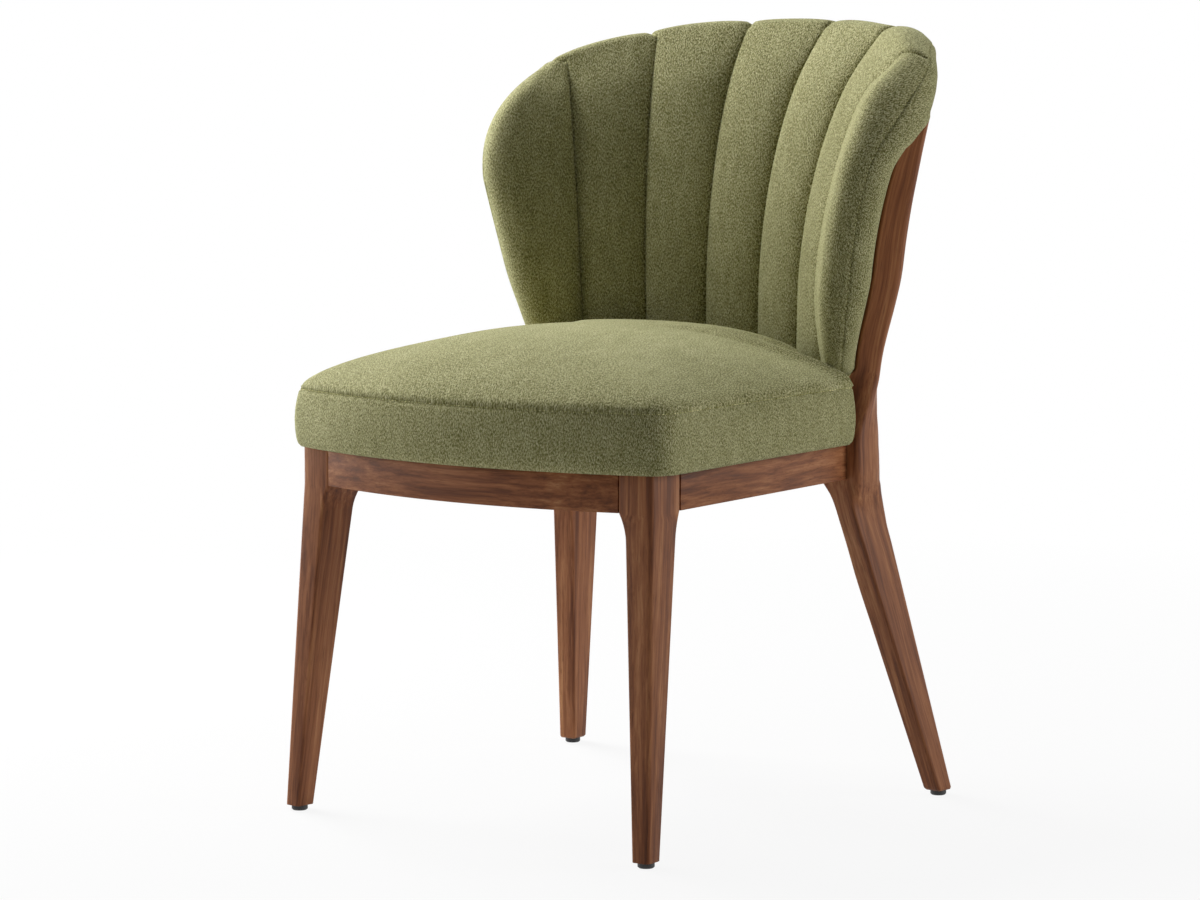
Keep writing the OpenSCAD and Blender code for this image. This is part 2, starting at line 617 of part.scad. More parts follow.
// Ends of the pad are closed straight across from face to rear.
module band_loft(rings, across) {
    n = len(rings[0]);
    last = len(rings) - 1;
    points = [for (ring = rings) for (p = ring) p];
    sides = [for (i = [0 : last - 1]) for (j = [0 : n - 1]) for (t = [0, 1])
        t == 0 ? [i * n + j, (i + 1) * n + j, (i + 1) * n + (j + 1) % n]
            : [i * n + j, (i + 1) * n + (j + 1) % n, i * n + (j + 1) % n]];
    extra = (n - 2 * across) / 2;
    opp = function(j) 2 * across + extra - 1 - j;
    low = [for (j = [0 : across - 2]) for (t = [0, 1])
        t == 0 ? [j, j + 1, opp(j + 1)] : [j, opp(j + 1), opp(j)]];
    high = [for (f = low) [f[2] + last * n, f[1] + last * n, f[0] + last * n]];
    ends = extra == 0 ? [] : [
        concat([across - 1], [for (j = [0 : extra - 1]) across + j], [opp(across - 1)]),
        concat([opp(0)], [for (j = [0 : extra - 1]) opp(0) + 1 + j], [0])];
    high_ends = [for (f = ends) [for (j = [len(f) - 1 : -1 : 0]) f[j] + last * n]];
    polyhedron(points, concat(low, ends, sides, high, high_ends), convexity = 12);
}
pad_roll = 22;
pad_top_rings = [for (a = [0, 30, 55, 75]) pad_ring(1, cos(a), pad_roll * sin(a), false, true)];
module back_pad() {
    color(green) band_loft(concat(
        [pad_ring(0, 0.8, 0, false, false), pad_ring(0.012, 1, 0, false, false)],
        [pad_ring(0.012, 1, 0, true, false)],
        [for (b = back_levels) pad_ring(b, 1, 0, true, false)],
        [pad_ring(shell_top, 1, 0, true, false), pad_ring(shell_top, 1, 0, false, false)],
        [pad_ring(shell_top + 0.001, 1, 0, false, true)],
        pad_top_rings), cols + 1);
}
// A thin layer of the back between two depths, without channels, reaching grow
// degrees past the edge of the shell
function layer_ring(b, grow, d0, d1) =
    let (p = wing_edge(edge_z(b)) - shell_margin,
        az = concat(grow > 0 ? [-p - grow] : [], [for (i = [2 : cols - 2]) rear_az(i, b)],
            grow > 0 ? [p + grow] : []),
        n = len(az) - 1)
    concat([for (i = [0 : n]) back_point(az[i], level_z(az[i], b), back_depth(level_z(az[i], b)) - d0)],
        [for (i = [n : -1 : 0]) back_point(az[i], level_z(az[i], b), back_depth(level_z(az[i], b)) - d1)]);
module back_shell() {
    d1 = outside_t + rest_gap;
    d0 = d1 + shell_t - rest_gap;
    color(ply) difference() {
        band_loft([for (b = concat([0.014], back_levels, [shell_top - 0.002])) layer_ring(b, 0, d0, d1)],
            cols - 3);
        upright_bolts(fit_gap, false);
    }
}
module outside_back() {
    wrap = shell_margin + 1.2;
    color(green) difference() {
        band_loft([for (b = concat([0, 0.012], back_levels, [shell_top - 0.001]))
            layer_ring(b, wrap, outside_t, 0)], cols - 1);
        upright_bolts(fit_gap, false);
    }
}
// Countersunk bolts from inside the shell into the uprights
bolt_z = [rail_top + 150, rail_top + 240];
bolt_bite = 20;
head_h = 3.5;
module upright_bolts(gap, hole) {
    for (z = bolt_z) for (m = [0, 1]) mirror([m, 0, 0])
        translate(back_point(upright_az, z, back_depth(z) - outside_t - shell_t - rest_gap))
            rotate([0, 90 + back_slope(z), 90 - upright_az]) translate([0, 0, rest_gap * 2]) {
                cylinder(d = bolt_dia + 2 * gap, h = shell_t + outside_t + bolt_bite + 10 * gap, $fn = 32);
                cylinder(d1 = bolt_dia * 1.9 + 2 * gap, d2 = bolt_dia + 2 * gap, h = head_h, $fn = 32);
                if (gap > 0) translate([0, 0, -3]) cylinder(d = bolt_dia * 1.9 + 2 * gap, h = 3.01, $fn = 32);
            }
}
module back_bolts() { color(steel) upright_bolts(0, false); }

// Glides
module glide(p, side) {
    color(nylon) mirror([side < 0 ? 1 : 0, 0, 0]) translate([p[0], p[1], 0]) difference() {
        rotate_extrude($fn = 48) polygon([[0, 0], [glide_dia / 2 - 1.2, 0], [glide_dia / 2, 1.2],
            [glide_dia / 2, glide_h], [0, glide_h]]);
        translate([0, 0, -1]) cylinder(d = glide_nail_dia + 2 * fit_gap, h = glide_h + 2, $fn = 24);
        translate([0, 0, -1]) cylinder(d = 2.4 * glide_nail_dia, h = 2.5, $fn = 24);
    }
}
module glide_nails() {
    color(steel) for (m = [0, 1]) mirror([m, 0, 0]) for (p = [front_foot, rear_foot])
        translate([p[0], p[1], 1.5]) {
            cylinder(d = glide_nail_dia, h = glide_nail_len + glide_h - 1.5, $fn = 24);
            translate([0, 0, -1]) cylinder(d = 2.2 * glide_nail_dia, h = 1, $fn = 24);
        }
}

// The whole chair is moved so that its origin lies under its middle.
chair_front = bow_y - bow_r - seat_overhang;
chair_rear = max([for (ring = pad_top_rings) for (p = ring) p[1]]);
module placed() { translate([0, -(chair_front + chair_rear) / 2, 0]) children(); }

placed() front_leg(-1);  // front_leg_left
placed() front_leg(1);  // front_leg_right
placed() rear_leg(-1);  // rear_leg_left
placed() rear_leg(1);  // rear_leg_right
placed() front_rail();
placed() side_rail(-1);  // side_rail_left
placed() side_rail(1);  // side_rail_right
placed() rear_rail();
placed() corner_block(front_block_plan, -1);  // corner_block_front_left
placed() corner_block(front_block_plan, 1);  // corner_block_front_right
placed() corner_block(rear_block_plan, -1);  // corner_block_rear_left
placed() corner_block(rear_block_plan, 1);  // corner_block_rear_right
placed() rail_dowels();
placed() corner_block_screws();
placed() seat_screws();
placed() seat_panel();
placed() seat_foam();
placed() seat_cover();
placed() dust_cloth();
placed() back_shell();
placed() back_pad();
placed() outside_back();
placed() back_bolts();
placed() glide(front_foot, -1);  // glide_front_left
placed() glide(front_foot, 1);  // glide_front_right
placed() glide(rear_foot, -1);  // glide_rear_left
placed() glide(rear_foot, 1);  // glide_rear_right
placed() glide_nails();
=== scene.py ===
# %% [markdown]
# An upholstered dining chair: four walnut legs, bowed and straight rails, a boxed
# and crowned seat cushion, and a channelled barrel back that two uprights carry.
# The packed CAD model is the frame of the scene. Most of the wood and all of the
# plastic and steel keep its shapes. The rear legs and the soft parts are built again
# here, because fabric on foam has rounded edges, grooves and a weave that a machining
# model leaves out, and the legs have to meet that fabric.

# %% Load the packed model
import math

import bmesh
import bpy
import numpy as np
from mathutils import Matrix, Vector, kdtree


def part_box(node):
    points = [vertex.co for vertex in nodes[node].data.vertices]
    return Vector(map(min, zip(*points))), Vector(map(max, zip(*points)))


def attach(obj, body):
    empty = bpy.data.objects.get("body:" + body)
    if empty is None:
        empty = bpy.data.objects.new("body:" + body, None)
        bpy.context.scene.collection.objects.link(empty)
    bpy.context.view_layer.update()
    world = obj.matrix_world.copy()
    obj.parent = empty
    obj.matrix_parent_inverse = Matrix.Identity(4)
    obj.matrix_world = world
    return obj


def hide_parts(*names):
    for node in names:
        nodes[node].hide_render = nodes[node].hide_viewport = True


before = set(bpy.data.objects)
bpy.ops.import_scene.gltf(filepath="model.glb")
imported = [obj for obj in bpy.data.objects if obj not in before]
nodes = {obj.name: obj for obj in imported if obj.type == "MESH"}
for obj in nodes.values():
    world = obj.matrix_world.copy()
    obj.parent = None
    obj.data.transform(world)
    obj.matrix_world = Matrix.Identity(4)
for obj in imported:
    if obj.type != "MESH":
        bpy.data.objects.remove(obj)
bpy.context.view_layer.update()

print("CAD nodes:", len(nodes))

# %% [markdown]
# The back of the chair is turned about one upright line. Everything soft is worked
# out in millimetres from that line, and moved to its place when a mesh is made.
# The front rail's foremost point gives the line's place in the packed model.

# %% The line that the back is turned about
MM = 0.001
AXIS_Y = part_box("front_rail")[0].y + 218.46 * MM


def place(points):
    """Millimetres from the back's axis to metres in the frame."""
    points = np.asarray(points, float) * MM
    points[..., 1] += AXIS_Y
    return points


print("back axis at y = %.4f m" % AXIS_Y)

# %% [markdown]
# The camera comes next. It stands almost four metres away with a long lens, a
# little above the seat, which is how furniture is photographed: the legs stay nearly
# parallel. Lamps are aimed in the same way at the end, so one function places and
# turns both.

# %% Camera
def added(name, data):
    """A new object in the scene."""
    made = bpy.data.objects.new(name, data)
    bpy.context.scene.collection.objects.link(made)
    return made


def aimed(thing, target, azimuth, elevation, distance):
    """Stands a camera or lamp round the target, facing it. Azimuth 0 is the front."""
    a, e = math.radians(azimuth), math.radians(elevation)
    away = Vector((math.sin(a) * math.cos(e), -math.cos(a) * math.cos(e), math.sin(e)))
    thing.location = target + away * distance
    thing.rotation_mode = "QUATERNION"
    thing.rotation_quaternion = (-away).to_track_quat("-Z", "Y")


camera = added("camera", bpy.data.cameras.new("camera"))
camera.data.lens, camera.data.sensor_width = 112.61, 36
aimed(camera, Vector((0.02016, AXIS_Y - 0.00846, 0.3674)), 38.37, 5.97, 3.7691)
bpy.context.scene.camera = camera
print("camera at %.2f, %.2f, %.2f m" % tuple(camera.location))

# %% [markdown]
# Shader values are easier to read as sums than as wires. Value wraps one output of
# a node, so that a + b or 1 - a adds the Math node by itself, and node() makes any
# other node from its type, its settings and what goes into its sockets.

# %% Shader values as expressions
class Value:
    def __init__(self, tree, socket):
        self.tree, self.socket = tree, socket

    def math(self, operation, *values, clamp=False):
        return node(self.tree, "ShaderNodeMath", dict(operation=operation, use_clamp=clamp),
                    dict(enumerate(values)))

    def __add__(self, other): return self.math("ADD", self, other)
    def __radd__(self, other): return self.math("ADD", other, self)
    def __sub__(self, other): return self.math("SUBTRACT", self, other)
    def __rsub__(self, other): return self.math("SUBTRACT", other, self)
    def __mul__(self, other): return self.math("MULTIPLY", self, other)
    def __rmul__(self, other): return self.math("MULTIPLY", other, self)
    def larger(self, other): return self.math("MAXIMUM", self, other)
    def fit(self, low, high): return self.math("DIVIDE", self - low, high - low, clamp=True)
    def sine(self): return self.math("SINE", self)
    def also(self, out): return Value(self.tree, self.socket.node.outputs[out])


def node(tree, kind, settings=None, sockets=None, out=0):
    """Adds a node and returns one of its outputs. also() gives another output of it."""
    made = tree.nodes.new(kind)
    for name, value in (settings or {}).items():
        if name == "stops":
            ramp = made.color_ramp
            while len(ramp.elements) < len(value):
                ramp.elements.new(0.5)
            for element, (at, colour) in zip(ramp.elements, value):
                element.position = at
                element.color = (*colour, 1)
        else:
            setattr(made, name, value)
    for name, value in (sockets or {}).items():
        if isinstance(value, Value):
            tree.links.new(value.socket, made.inputs[name])
        else:
            made.inputs[name].default_value = value
    return Value(tree, made.outputs[out]) if made.outputs else None


print("operators:", ", ".join(name for name in vars(Value) if name.startswith("__r")))

# %% [markdown]
# A few steps come back in every finish: a soft noise, a pattern stretched or turned
# on its way in, a ramp from tones to colours, and bumps from a height. Colours are
# written as a screen shows them, from 0 to 255, and linear() turns them into the
# shader's own values.

# %% Steps that the finishes share
OBJECT_SPACE = 3  # the Object output of Texture Coordinate
COLOUR = 1  # the colour output of a noise
MIXED_COLOUR = 2  # the colour output of a Mix node


def linear(rgb):
    return tuple((c / 255 / 12.92) if c / 255 < 0.04045 else ((c / 255 + 0.055) / 1.055) ** 2.4
                 for c in rgb)


def mix(tree, factor, a, b):
    a, b = [(*linear(c), 1) if isinstance(c, tuple) else c for c in (a, b)]
    return node(tree, "ShaderNodeMix", dict(data_type="RGBA"), {0: factor, 6: a, 7: b}, out=MIXED_COLOUR)


def ramp(tree, tone, stops, shade=1.0):
    """The colour for each tone. Stops are pairs of a tone and its colour."""
    stops = [(at, tuple(c * shade for c in linear(rgb))) for at, rgb in stops]
    return node(tree, "ShaderNodeValToRGB", dict(stops=stops), {"Fac": tone})


def noise(tree, vector, scale, detail=2, rough=0.5, out=0):
    return node(tree, "ShaderNodeTexNoise", {},
                {"Vector": vector, "Scale": scale, "Detail": detail, "Roughness": rough}, out)


def stretched(tree, vector, scale):
    return node(tree, "ShaderNodeVectorMath", dict(operation="MULTIPLY"), {0: vector, 1: scale})


def turned(tree, vector, degrees, scale):
    return node(tree, "ShaderNodeMapping", {},
                {"Vector": vector, "Rotation": (0, 0, math.radians(degrees)), "Scale": scale})


def wandering(tree, vector, push, reach):
    """The vector, pushed about by a noise, so that no line of the pattern runs straight."""
    return node(tree, "ShaderNodeVectorMath", dict(operation="MULTIPLY_ADD"),
                {0: push, 1: (reach, reach, 0), 2: vector})


def finish(name, **constants):
    """A new material with a Principled shader. Constants go straight on its sockets."""
    material = bpy.data.materials.new(name)
    material.use_nodes = True
    tree = material.node_tree
    tree.nodes.clear()
    shader = tree.nodes.new("ShaderNodeBsdfPrincipled")
    for socket, value in constants.items():
        shader.inputs[socket.replace("_", " ")].default_value = value
    output = tree.nodes.new("ShaderNodeOutputMaterial")
    tree.links.new(shader.outputs[0], output.inputs[0])
    return material, tree, shader


def feed(tree, shader, socket, value):
    tree.links.new(value.socket, shader.inputs[socket])


def bump(tree, shader, height, distance, strength):
    feed(tree, shader, "Normal", node(tree, "ShaderNodeBump", {},
         {"Height": height, "Distance": distance, "Strength": strength}))


print("mid grey of a screen is %.3f to a shader" % linear((128, 128, 128))[0])

# %% [markdown]
# The cover is a chenille-like woven cloth in sage green. It could be drawn with one
# noise, but a crepe weave reads as cloth because its ridges lean both ways over
# crossing threads: two stretched noises lie on opposite diagonals, and warp and weft
# are two sine waves, all on the piece's own UV map, which is in metres along the
# cloth. Longer, softer strokes show where the pile was rubbed. Sheen stands for the
# short fibres that catch light at the rim. The thread is the same yarn, but lighter.

# %% Sage green weave
WARP, WEFT = 0.0023, 0.0021
CLOTH_STOPS = [(0.04, (92, 90, 48)), (0.5, (150, 147, 97)), (0.96, (206, 202, 158))]


def sage_cloth(name, shade=1.0):
    material, tree, shader = finish(
        name, Roughness=0.92, Sheen_Weight=0.30, Sheen_Roughness=0.45,
        Sheen_Tint=(0.80, 0.84, 0.55, 1), Specular_IOR_Level=0.15)
    cloth = node(tree, "ShaderNodeUVMap", dict(uv_map="cloth"))
    bent = wandering(tree, cloth, noise(tree, cloth, 170, 1, out=COLOUR), 0.0016)
    crepe_left = noise(tree, turned(tree, bent, 58, (1, 0.38, 1)), 1080, 1).fit(0.32, 0.68)
    crepe_right = noise(tree, turned(tree, bent, -52, (1, 0.42, 1)), 980, 1).fit(0.32, 0.68)
    across = node(tree, "ShaderNodeSeparateXYZ", {}, {0: bent})
    warp, weft = (across * (2 * math.pi / WARP)).sine(), (across.also(1) * (2 * math.pi / WEFT)).sine()
    weave = warp * weft * 0.5 + 0.5
    pebble = noise(tree, bent, 880, 0).fit(0.30, 0.70)
    rubbed = noise(tree, turned(tree, bent, 24, (1, 0.3, 1)), 120, 3, 0.6)
    cloud = noise(tree, cloth, 11)
    height = crepe_left * 0.34 + crepe_right * 0.26 + pebble * 0.22 + weave * 0.18
    tone = (height - 0.5) * 2.3 + (rubbed - 0.5) * 0.55 + (cloud - 0.5) * 0.24 + 0.50
    feed(tree, shader, "Base Color", ramp(tree, tone, CLOTH_STOPS, shade))
    bump(tree, shader, height, 0.0011, 0.7)
    return material


cloth_finish = sage_cloth("sage_weave")
thread_finish = sage_cloth("sage_thread", 1.75)
print("cloth:", cloth_finish.name, "thread:", thread_finish.name)

# %% [markdown]
# Walnut has long streaks along the board, fine dark pores in the same direction and
# a satin lacquer. The streaks could follow the object's axes, but a bent leg would
# then show them running off its edge: each wooden piece carries an attribute,
# grain, that counts metres along its own length and across it.

# %% Satin walnut
WALNUT_STOPS = [(0.33, (78, 41, 22)), (0.45, (121, 71, 41)), (0.55, (153, 98, 62)), (0.70, (190, 135, 92))]
PORE_COLOUR = (74, 40, 22)


def walnut_finish(name):
    material, tree, shader = finish(name, Specular_IOR_Level=0.2)
    grain = node(tree, "ShaderNodeAttribute", dict(attribute_name="grain"), out=1)
    slow = stretched(tree, grain, (1, 1, 0.3))
    drift = wandering(tree, grain, noise(tree, slow, 16, out=COLOUR), 0.012)
    rings = noise(tree, stretched(tree, drift, (1, 1, 0.035)), 130, 3, 0.55)
    streak = noise(tree, stretched(tree, drift, (1, 1, 0.02)), 420, 3, 0.6)
    holes = noise(tree, stretched(tree, grain, (1, 1, 0.03)), 1500, 1).fit(0.40, 0.30)
    patch = noise(tree, stretched(tree, grain, (1, 1, 0.25)), 14)
    tone = rings * 0.55 + streak * 0.30 + patch * 0.25 - 0.05
    feed(tree, shader, "Base Color", mix(tree, holes * 0.45, ramp(tree, tone, WALNUT_STOPS), PORE_COLOUR))
    feed(tree, shader, "Roughness", 0.40 + streak * 0.16 + holes * 0.15)
    bump(tree, shader, streak * 0.5 - holes * 0.6, 0.0003, 0.35)
    return material


walnut = walnut_finish("satin_walnut")
print("walnut:", len(walnut.node_tree.nodes), "nodes")

# %% [markdown]
# Behind the cloth are plain workshop materials: beech dowels and corner blocks,
# birch plywood with its plies, pale foam, black nylon glides, zinc-plated screws and
# a black non-woven dust cloth. Lines along Y draw the two woods, and the others are
# speckled by a coarse and a fine noise, each at its own scale.

# %% Workshop materials
PLY = 0.003


def plain_wood(name, low, high, plies=False):
    material, tree, shader = finish(name, Roughness=0.6)
    at = node(tree, "ShaderNodeTexCoord", out=OBJECT_SPACE)
    lines = noise(tree, stretched(tree, at, (1, 0.06, 1)), 300, 3, 0.55)
    flecks = noise(tree, stretched(tree, at, (1, 0.25, 1)), 900, 1)
    tone = lines * 0.7 + flecks * 0.3
    if plies:
        height = node(tree, "ShaderNodeSeparateXYZ", {}, {0: at}, out=2)
        tone = tone + (height * (2 * math.pi / PLY)).sine() * 0.12
    feed(tree, shader, "Base Color", mix(tree, tone.fit(0.3, 0.7), low, high))
    bump(tree, shader, lines, 0.0002, 0.4)
    return material


def speckled(name, low, high, scale, depth, **constants):
    material, tree, shader = finish(name, **constants)
    at = node(tree, "ShaderNodeTexCoord", out=OBJECT_SPACE)
    tone = noise(tree, at, scale, 3, 0.6) * 0.5 + noise(tree, at, scale * 6) * 0.5
    feed(tree, shader, "Base Color", mix(tree, tone.fit(0.3, 0.7), low, high))
    bump(tree, shader, tone, depth, 0.6)
    return material


beech = plain_wood("beech", (176, 132, 92), (204, 164, 122))
plywood = plain_wood("birch_plywood", (176, 140, 98), (216, 184, 140), plies=True)
foam_finish = speckled("cut_foam", (206, 200, 176), (232, 228, 208), 260, 0.0012, Roughness=0.95)
nylon = speckled("black_nylon", (20, 19, 18), (34, 32, 30), 500, 0.0002, Roughness=0.5)
steel = speckled("zinc_steel", (150, 150, 148), (186, 186, 182), 700, 0.0001, Roughness=0.34, Metallic=1.0)
felt = speckled("black_dust_cloth", (17, 17, 17), (38, 38, 37), 420, 0.0004, Roughness=0.9)
print("finishes:", ", ".join(material.name for material in bpy.data.materials))

# %% [markdown]
# Two small rules come back all the time. lerp() goes evenly from one value to
# another. smooth() turns a share into one that starts and ends gently, so that no
# form has a kink where one rule takes over from the next.

# %% Shares
def smooth(t):
    t = np.clip(t, 0, 1)
    return t * t * (3 - 2 * t)


def lerp(a, b, t):
    return a + (b - a) * t


print("smooth(0.25) is %.3f" % smooth(0.25))

# %% [markdown]
# Meshes are made from lists of points and faces in one place, so that each one gets
# its smooth shading, its finish and, for cloth, the UV map named cloth. Most forms
# here are tubes of rings with equal numbers of points, joined in order.

# %% Mesh helpers
def coordinates(mesh):
    co = np.zeros(len(mesh.vertices) * 3)
    mesh.vertices.foreach_get("co", co)
    return co.reshape(-1, 3)


def shade_smooth(mesh):
    mesh.polygons.foreach_set("use_smooth", [True] * len(mesh.polygons))


def write_uv(mesh, uv):
    """Stores one cloth coordinate for each point."""
    layer = mesh.uv_layers.new(name="cloth")
    corner = np.array([loop.vertex_index for loop in mesh.loops])
    layer.data.foreach_set("uv", np.asarray(uv, np.float32)[corner].ravel())


def new_piece(name, points, faces, material, uv=None):
    mesh = bpy.data.meshes.new(name)
    mesh.from_pydata([tuple(p) for p in points], [], [tuple(int(i) for i in f) for f in faces])
    if uv is not None:
        write_uv(mesh, uv)
    shade_smooth(mesh)
    mesh.validate()
    mesh.materials.append(material)
    piece = added(name, mesh)
    return piece


def tube(rings, columns):
    """Faces between closed rings of points that are numbered one ring after the other."""
    return [(r * columns + c, r * columns + (c + 1) % columns,
             (r + 1) * columns + (c + 1) % columns, (r + 1) * columns + c)
            for r in range(rings - 1) for c in range(columns)]


print("a tube of 3 rings of 4 points has %d faces" % len(tube(3, 4)))

# %% [markdown]
# Modifiers are applied as soon as they are set, because a finished piece is a plain
# mesh. A form that was joined from rows still has double points at its seams: they
# are merged first, and then its faces are turned outwards.

# %% Finished meshes
MERGE = 0.01 * MM
INWARDS = -1


def outward(piece, merge=MERGE):
    """Joins points that lie on each other and turns every face to the outside."""
    work = bmesh.new()
    work.from_mesh(piece.data)
    bmesh.ops.remove_doubles(work, verts=work.verts, dist=merge)
    bmesh.ops.recalc_face_normals(work, faces=work.faces)
    work.to_mesh(piece.data)
    work.free()


def made_real(piece):
    """Applies the modifiers, so that the piece is a plain mesh."""
    bpy.context.view_layer.update()
    depsgraph = bpy.context.evaluated_depsgraph_get()
    result = bpy.data.meshes.new_from_object(piece.evaluated_get(depsgraph),
                                             preserve_all_data_layers=True, depsgraph=depsgraph)
    piece.modifiers.clear()
    piece.data = result


def walled(piece, thickness):
    """Gives a skin its thickness, inwards."""
    wall = piece.modifiers.new("wall", "SOLIDIFY")
    wall.thickness, wall.offset = thickness, INWARDS
    made_real(piece)


print("points within %.2f mm are merged" % (MERGE / MM))

# %% [markdown]
# Fabric on foam is never as even as a rule. Each cushion is therefore blown up a
# little: a coarse closed copy is made of voxels, its seams are pinned, and Blender's
# Cloth presses air into it for twenty frames. Only the movement of that copy is
# carried to the finished mesh, so the seams and the weave survive. No point may move
# further than the cap, because the cover is held by the foam and the frame.

# %% Points near a seam
HELD_NEAR, HELD_FADE = 7.0, 6.0


def lookup(points):
    tree = kdtree.KDTree(len(points))
    for k, at in enumerate(points):
        tree.insert(at, k)
    tree.balance()
    return tree


def near_lines(lines):
    """Gives 1 at the given points and fades to 0 a little away from them."""
    tree = lookup(lines)
    return lambda co: np.array([1 - smooth((tree.find(p)[2] / MM - HELD_NEAR) / HELD_FADE) for p in co])


print("held within %.0f mm of a seam, free from %.0f mm" % (HELD_NEAR, HELD_NEAR + HELD_FADE))

# %% [markdown]
# The coarse copy is closed and remeshed, so that neither an open foot nor a narrow
# groove matters to it. Cloth needs frames to run through, even in a still scene, and
# no gravity, because the cushion already sits where it should.

# %% Pressed copy
PRESSURE, AIR_FRAMES = 4.0, 20
STRETCH, BEND = 12, 0.4


def coarse_copy(piece, voxel):
    copy = added(piece.name + "_air", piece.data.copy())
    work = bmesh.new()
    work.from_mesh(copy.data)
    bmesh.ops.holes_fill(work, edges=[e for e in work.edges if e.is_boundary], sides=0)
    bmesh.ops.recalc_face_normals(work, faces=work.faces)
    work.to_mesh(copy.data)
    work.free()
    coarse = copy.modifiers.new("coarse", "REMESH")
    coarse.mode = "VOXEL"
    coarse.voxel_size = voxel * MM
    made_real(copy)
    return copy


def press(copy, held):
    """Runs the simulation and returns where each point ends. held is 1 where it can't move."""
    group = copy.vertex_groups.new(name="held")
    for k, weight in enumerate(held):
        group.add([k], float(weight), "REPLACE")
    cloth = copy.modifiers.new("air", "CLOTH")
    cloth.settings.use_pressure = True
    cloth.settings.uniform_pressure_force = PRESSURE
    cloth.settings.vertex_group_mass = "held"
    cloth.settings.effector_weights.gravity = 0
    cloth.settings.quality = 4
    cloth.settings.tension_stiffness = cloth.settings.compression_stiffness = STRETCH
    cloth.settings.bending_stiffness = BEND
    cloth.collision_settings.use_collision = False
    cloth.point_cache.frame_start, cloth.point_cache.frame_end = 1, AIR_FRAMES
    for frame_number in range(1, AIR_FRAMES + 1):
        bpy.context.scene.frame_set(frame_number)
    end = coordinates(copy.evaluated_get(bpy.context.evaluated_depsgraph_get()).data)
    bpy.context.scene.frame_set(1)
    return end


print("air: pressure %.0f for %d frames" % (PRESSURE, AIR_FRAMES))

# %% [markdown]
# Each point of the finished mesh takes the movement of the coarse points nearest to
# it, and more of it from the nearer ones. tanh() bends a large movement down to the
# cap without a step.

# %% Movement carried over
CARRIERS = 5


def blown_up(piece, pinned, voxel, cap):
    """Moves a piece's points as its pressed copy moves, by cap millimetres at most."""
    copy = coarse_copy(piece, voxel)
    start = coordinates(copy.data)
    move = press(copy, pinned(start)) - start
    length = np.maximum(np.linalg.norm(move, axis=1), 1e-9)
    move *= (cap * MM * np.tanh(length / (cap * MM)) / length)[:, None]
    tree = lookup(start)
    for point in piece.data.vertices:
        near = tree.find_n(point.co, CARRIERS)
        weight = np.array([1 / (distance + 0.001) for _, _, distance in near])
        point.co += Vector(weight @ move[[k for _, k, _ in near]] / weight.sum())
    mesh = copy.data
    bpy.data.objects.remove(copy)
    bpy.data.meshes.remove(mesh)
    print("%s: %d coarse points, moved %.1f mm on average, %.1f at most"
          % (piece.name, len(start), length.mean() / MM, min(cap, length.max() / MM)))


print("each point follows %d others" % CARRIERS)

# %% [markdown]
# Stitches repeat along a seam, which is work for Geometry Nodes: the seam's points
# become a curve, the curve becomes evenly spaced points, and a small bead of thread
# is laid on each of them along the seam with a little tilt of its own.

# %% Stitches
TILT_MOST = 0.16


def stitch_tree(material):
    tree = bpy.data.node_groups.new("stitches", "GeometryNodeTree")
    face = tree.interface
    face.new_socket("Geometry", in_out="INPUT", socket_type="NodeSocketGeometry")
    for label, value in (("Pitch", 0.0046), ("Stitch length", 0.0034), ("Thread", 0.0011)):
        face.new_socket(label, in_out="INPUT", socket_type="NodeSocketFloat").default_value = value
    face.new_socket("Seed", in_out="INPUT", socket_type="NodeSocketInt").default_value = 4
    face.new_socket("Geometry", in_out="OUTPUT", socket_type="NodeSocketGeometry")
    inputs, outputs = tree.nodes.new("NodeGroupInput"), tree.nodes.new("NodeGroupOutput")
    given = {socket.name: Value(tree, socket) for socket in inputs.outputs if socket.name}
    curve = node(tree, "GeometryNodeMeshToCurve", {}, {"Mesh": given["Geometry"]})
    points = node(tree, "GeometryNodeCurveToPoints", dict(mode="LENGTH"),
                  {"Curve": curve, "Length": given["Pitch"]}, out="Points")
    tilt = node(tree, "FunctionNodeRandomValue", dict(data_type="FLOAT_VECTOR"),
                {"Min": [-TILT_MOST] * 3, "Max": [TILT_MOST] * 3, "Seed": given["Seed"]})
    along = node(tree, "ShaderNodeVectorMath", dict(operation="ADD"), {0: points.also("Tangent"), 1: tilt})
    turn = node(tree, "FunctionNodeAlignRotationToVector", dict(axis="Z"), {"Vector": along})
    bead = node(tree, "GeometryNodeMeshUVSphere", {}, {"Segments": 6, "Rings": 4, "Radius": 0.5})
    size = node(tree, "ShaderNodeCombineXYZ", {},
                {"X": given["Thread"], "Y": given["Thread"], "Z": given["Stitch length"]})
    laid = node(tree, "GeometryNodeInstanceOnPoints", {},
                {"Points": points, "Instance": bead, "Rotation": turn, "Scale": size})
    real = node(tree, "GeometryNodeRealizeInstances", {}, {"Geometry": laid})
    done = node(tree, "GeometryNodeSetMaterial", {}, {"Geometry": real, "Material": material})
    tree.links.new(done.socket, outputs.inputs["Geometry"])
    return tree


def sewn(name, line, closed, thread):
    """A row of stitches along the given points, in metres."""
    mesh = bpy.data.meshes.new(name)
    count = len(line)
    edges = [(k, k + 1) for k in range(count - 1)] + ([(count - 1, 0)] if closed else [])
    mesh.from_pydata([tuple(p) for p in line], edges, [])
    piece = added(name, mesh)
    row = piece.modifiers.new("stitches", "NODES")
    row.node_group = stitches
    row[stitches.interface.items_tree["Thread"].identifier] = thread
    made_real(piece)
    shade_smooth(piece.data)
    write_uv(piece.data, coordinates(piece.data)[:, [0, 2]])
    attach(piece, "root")
    print("%s: %d faces" % (name, len(piece.data.polygons)))


stitches = stitch_tree(thread_finish)
print("stitch tree:", len(stitches.nodes), "nodes")

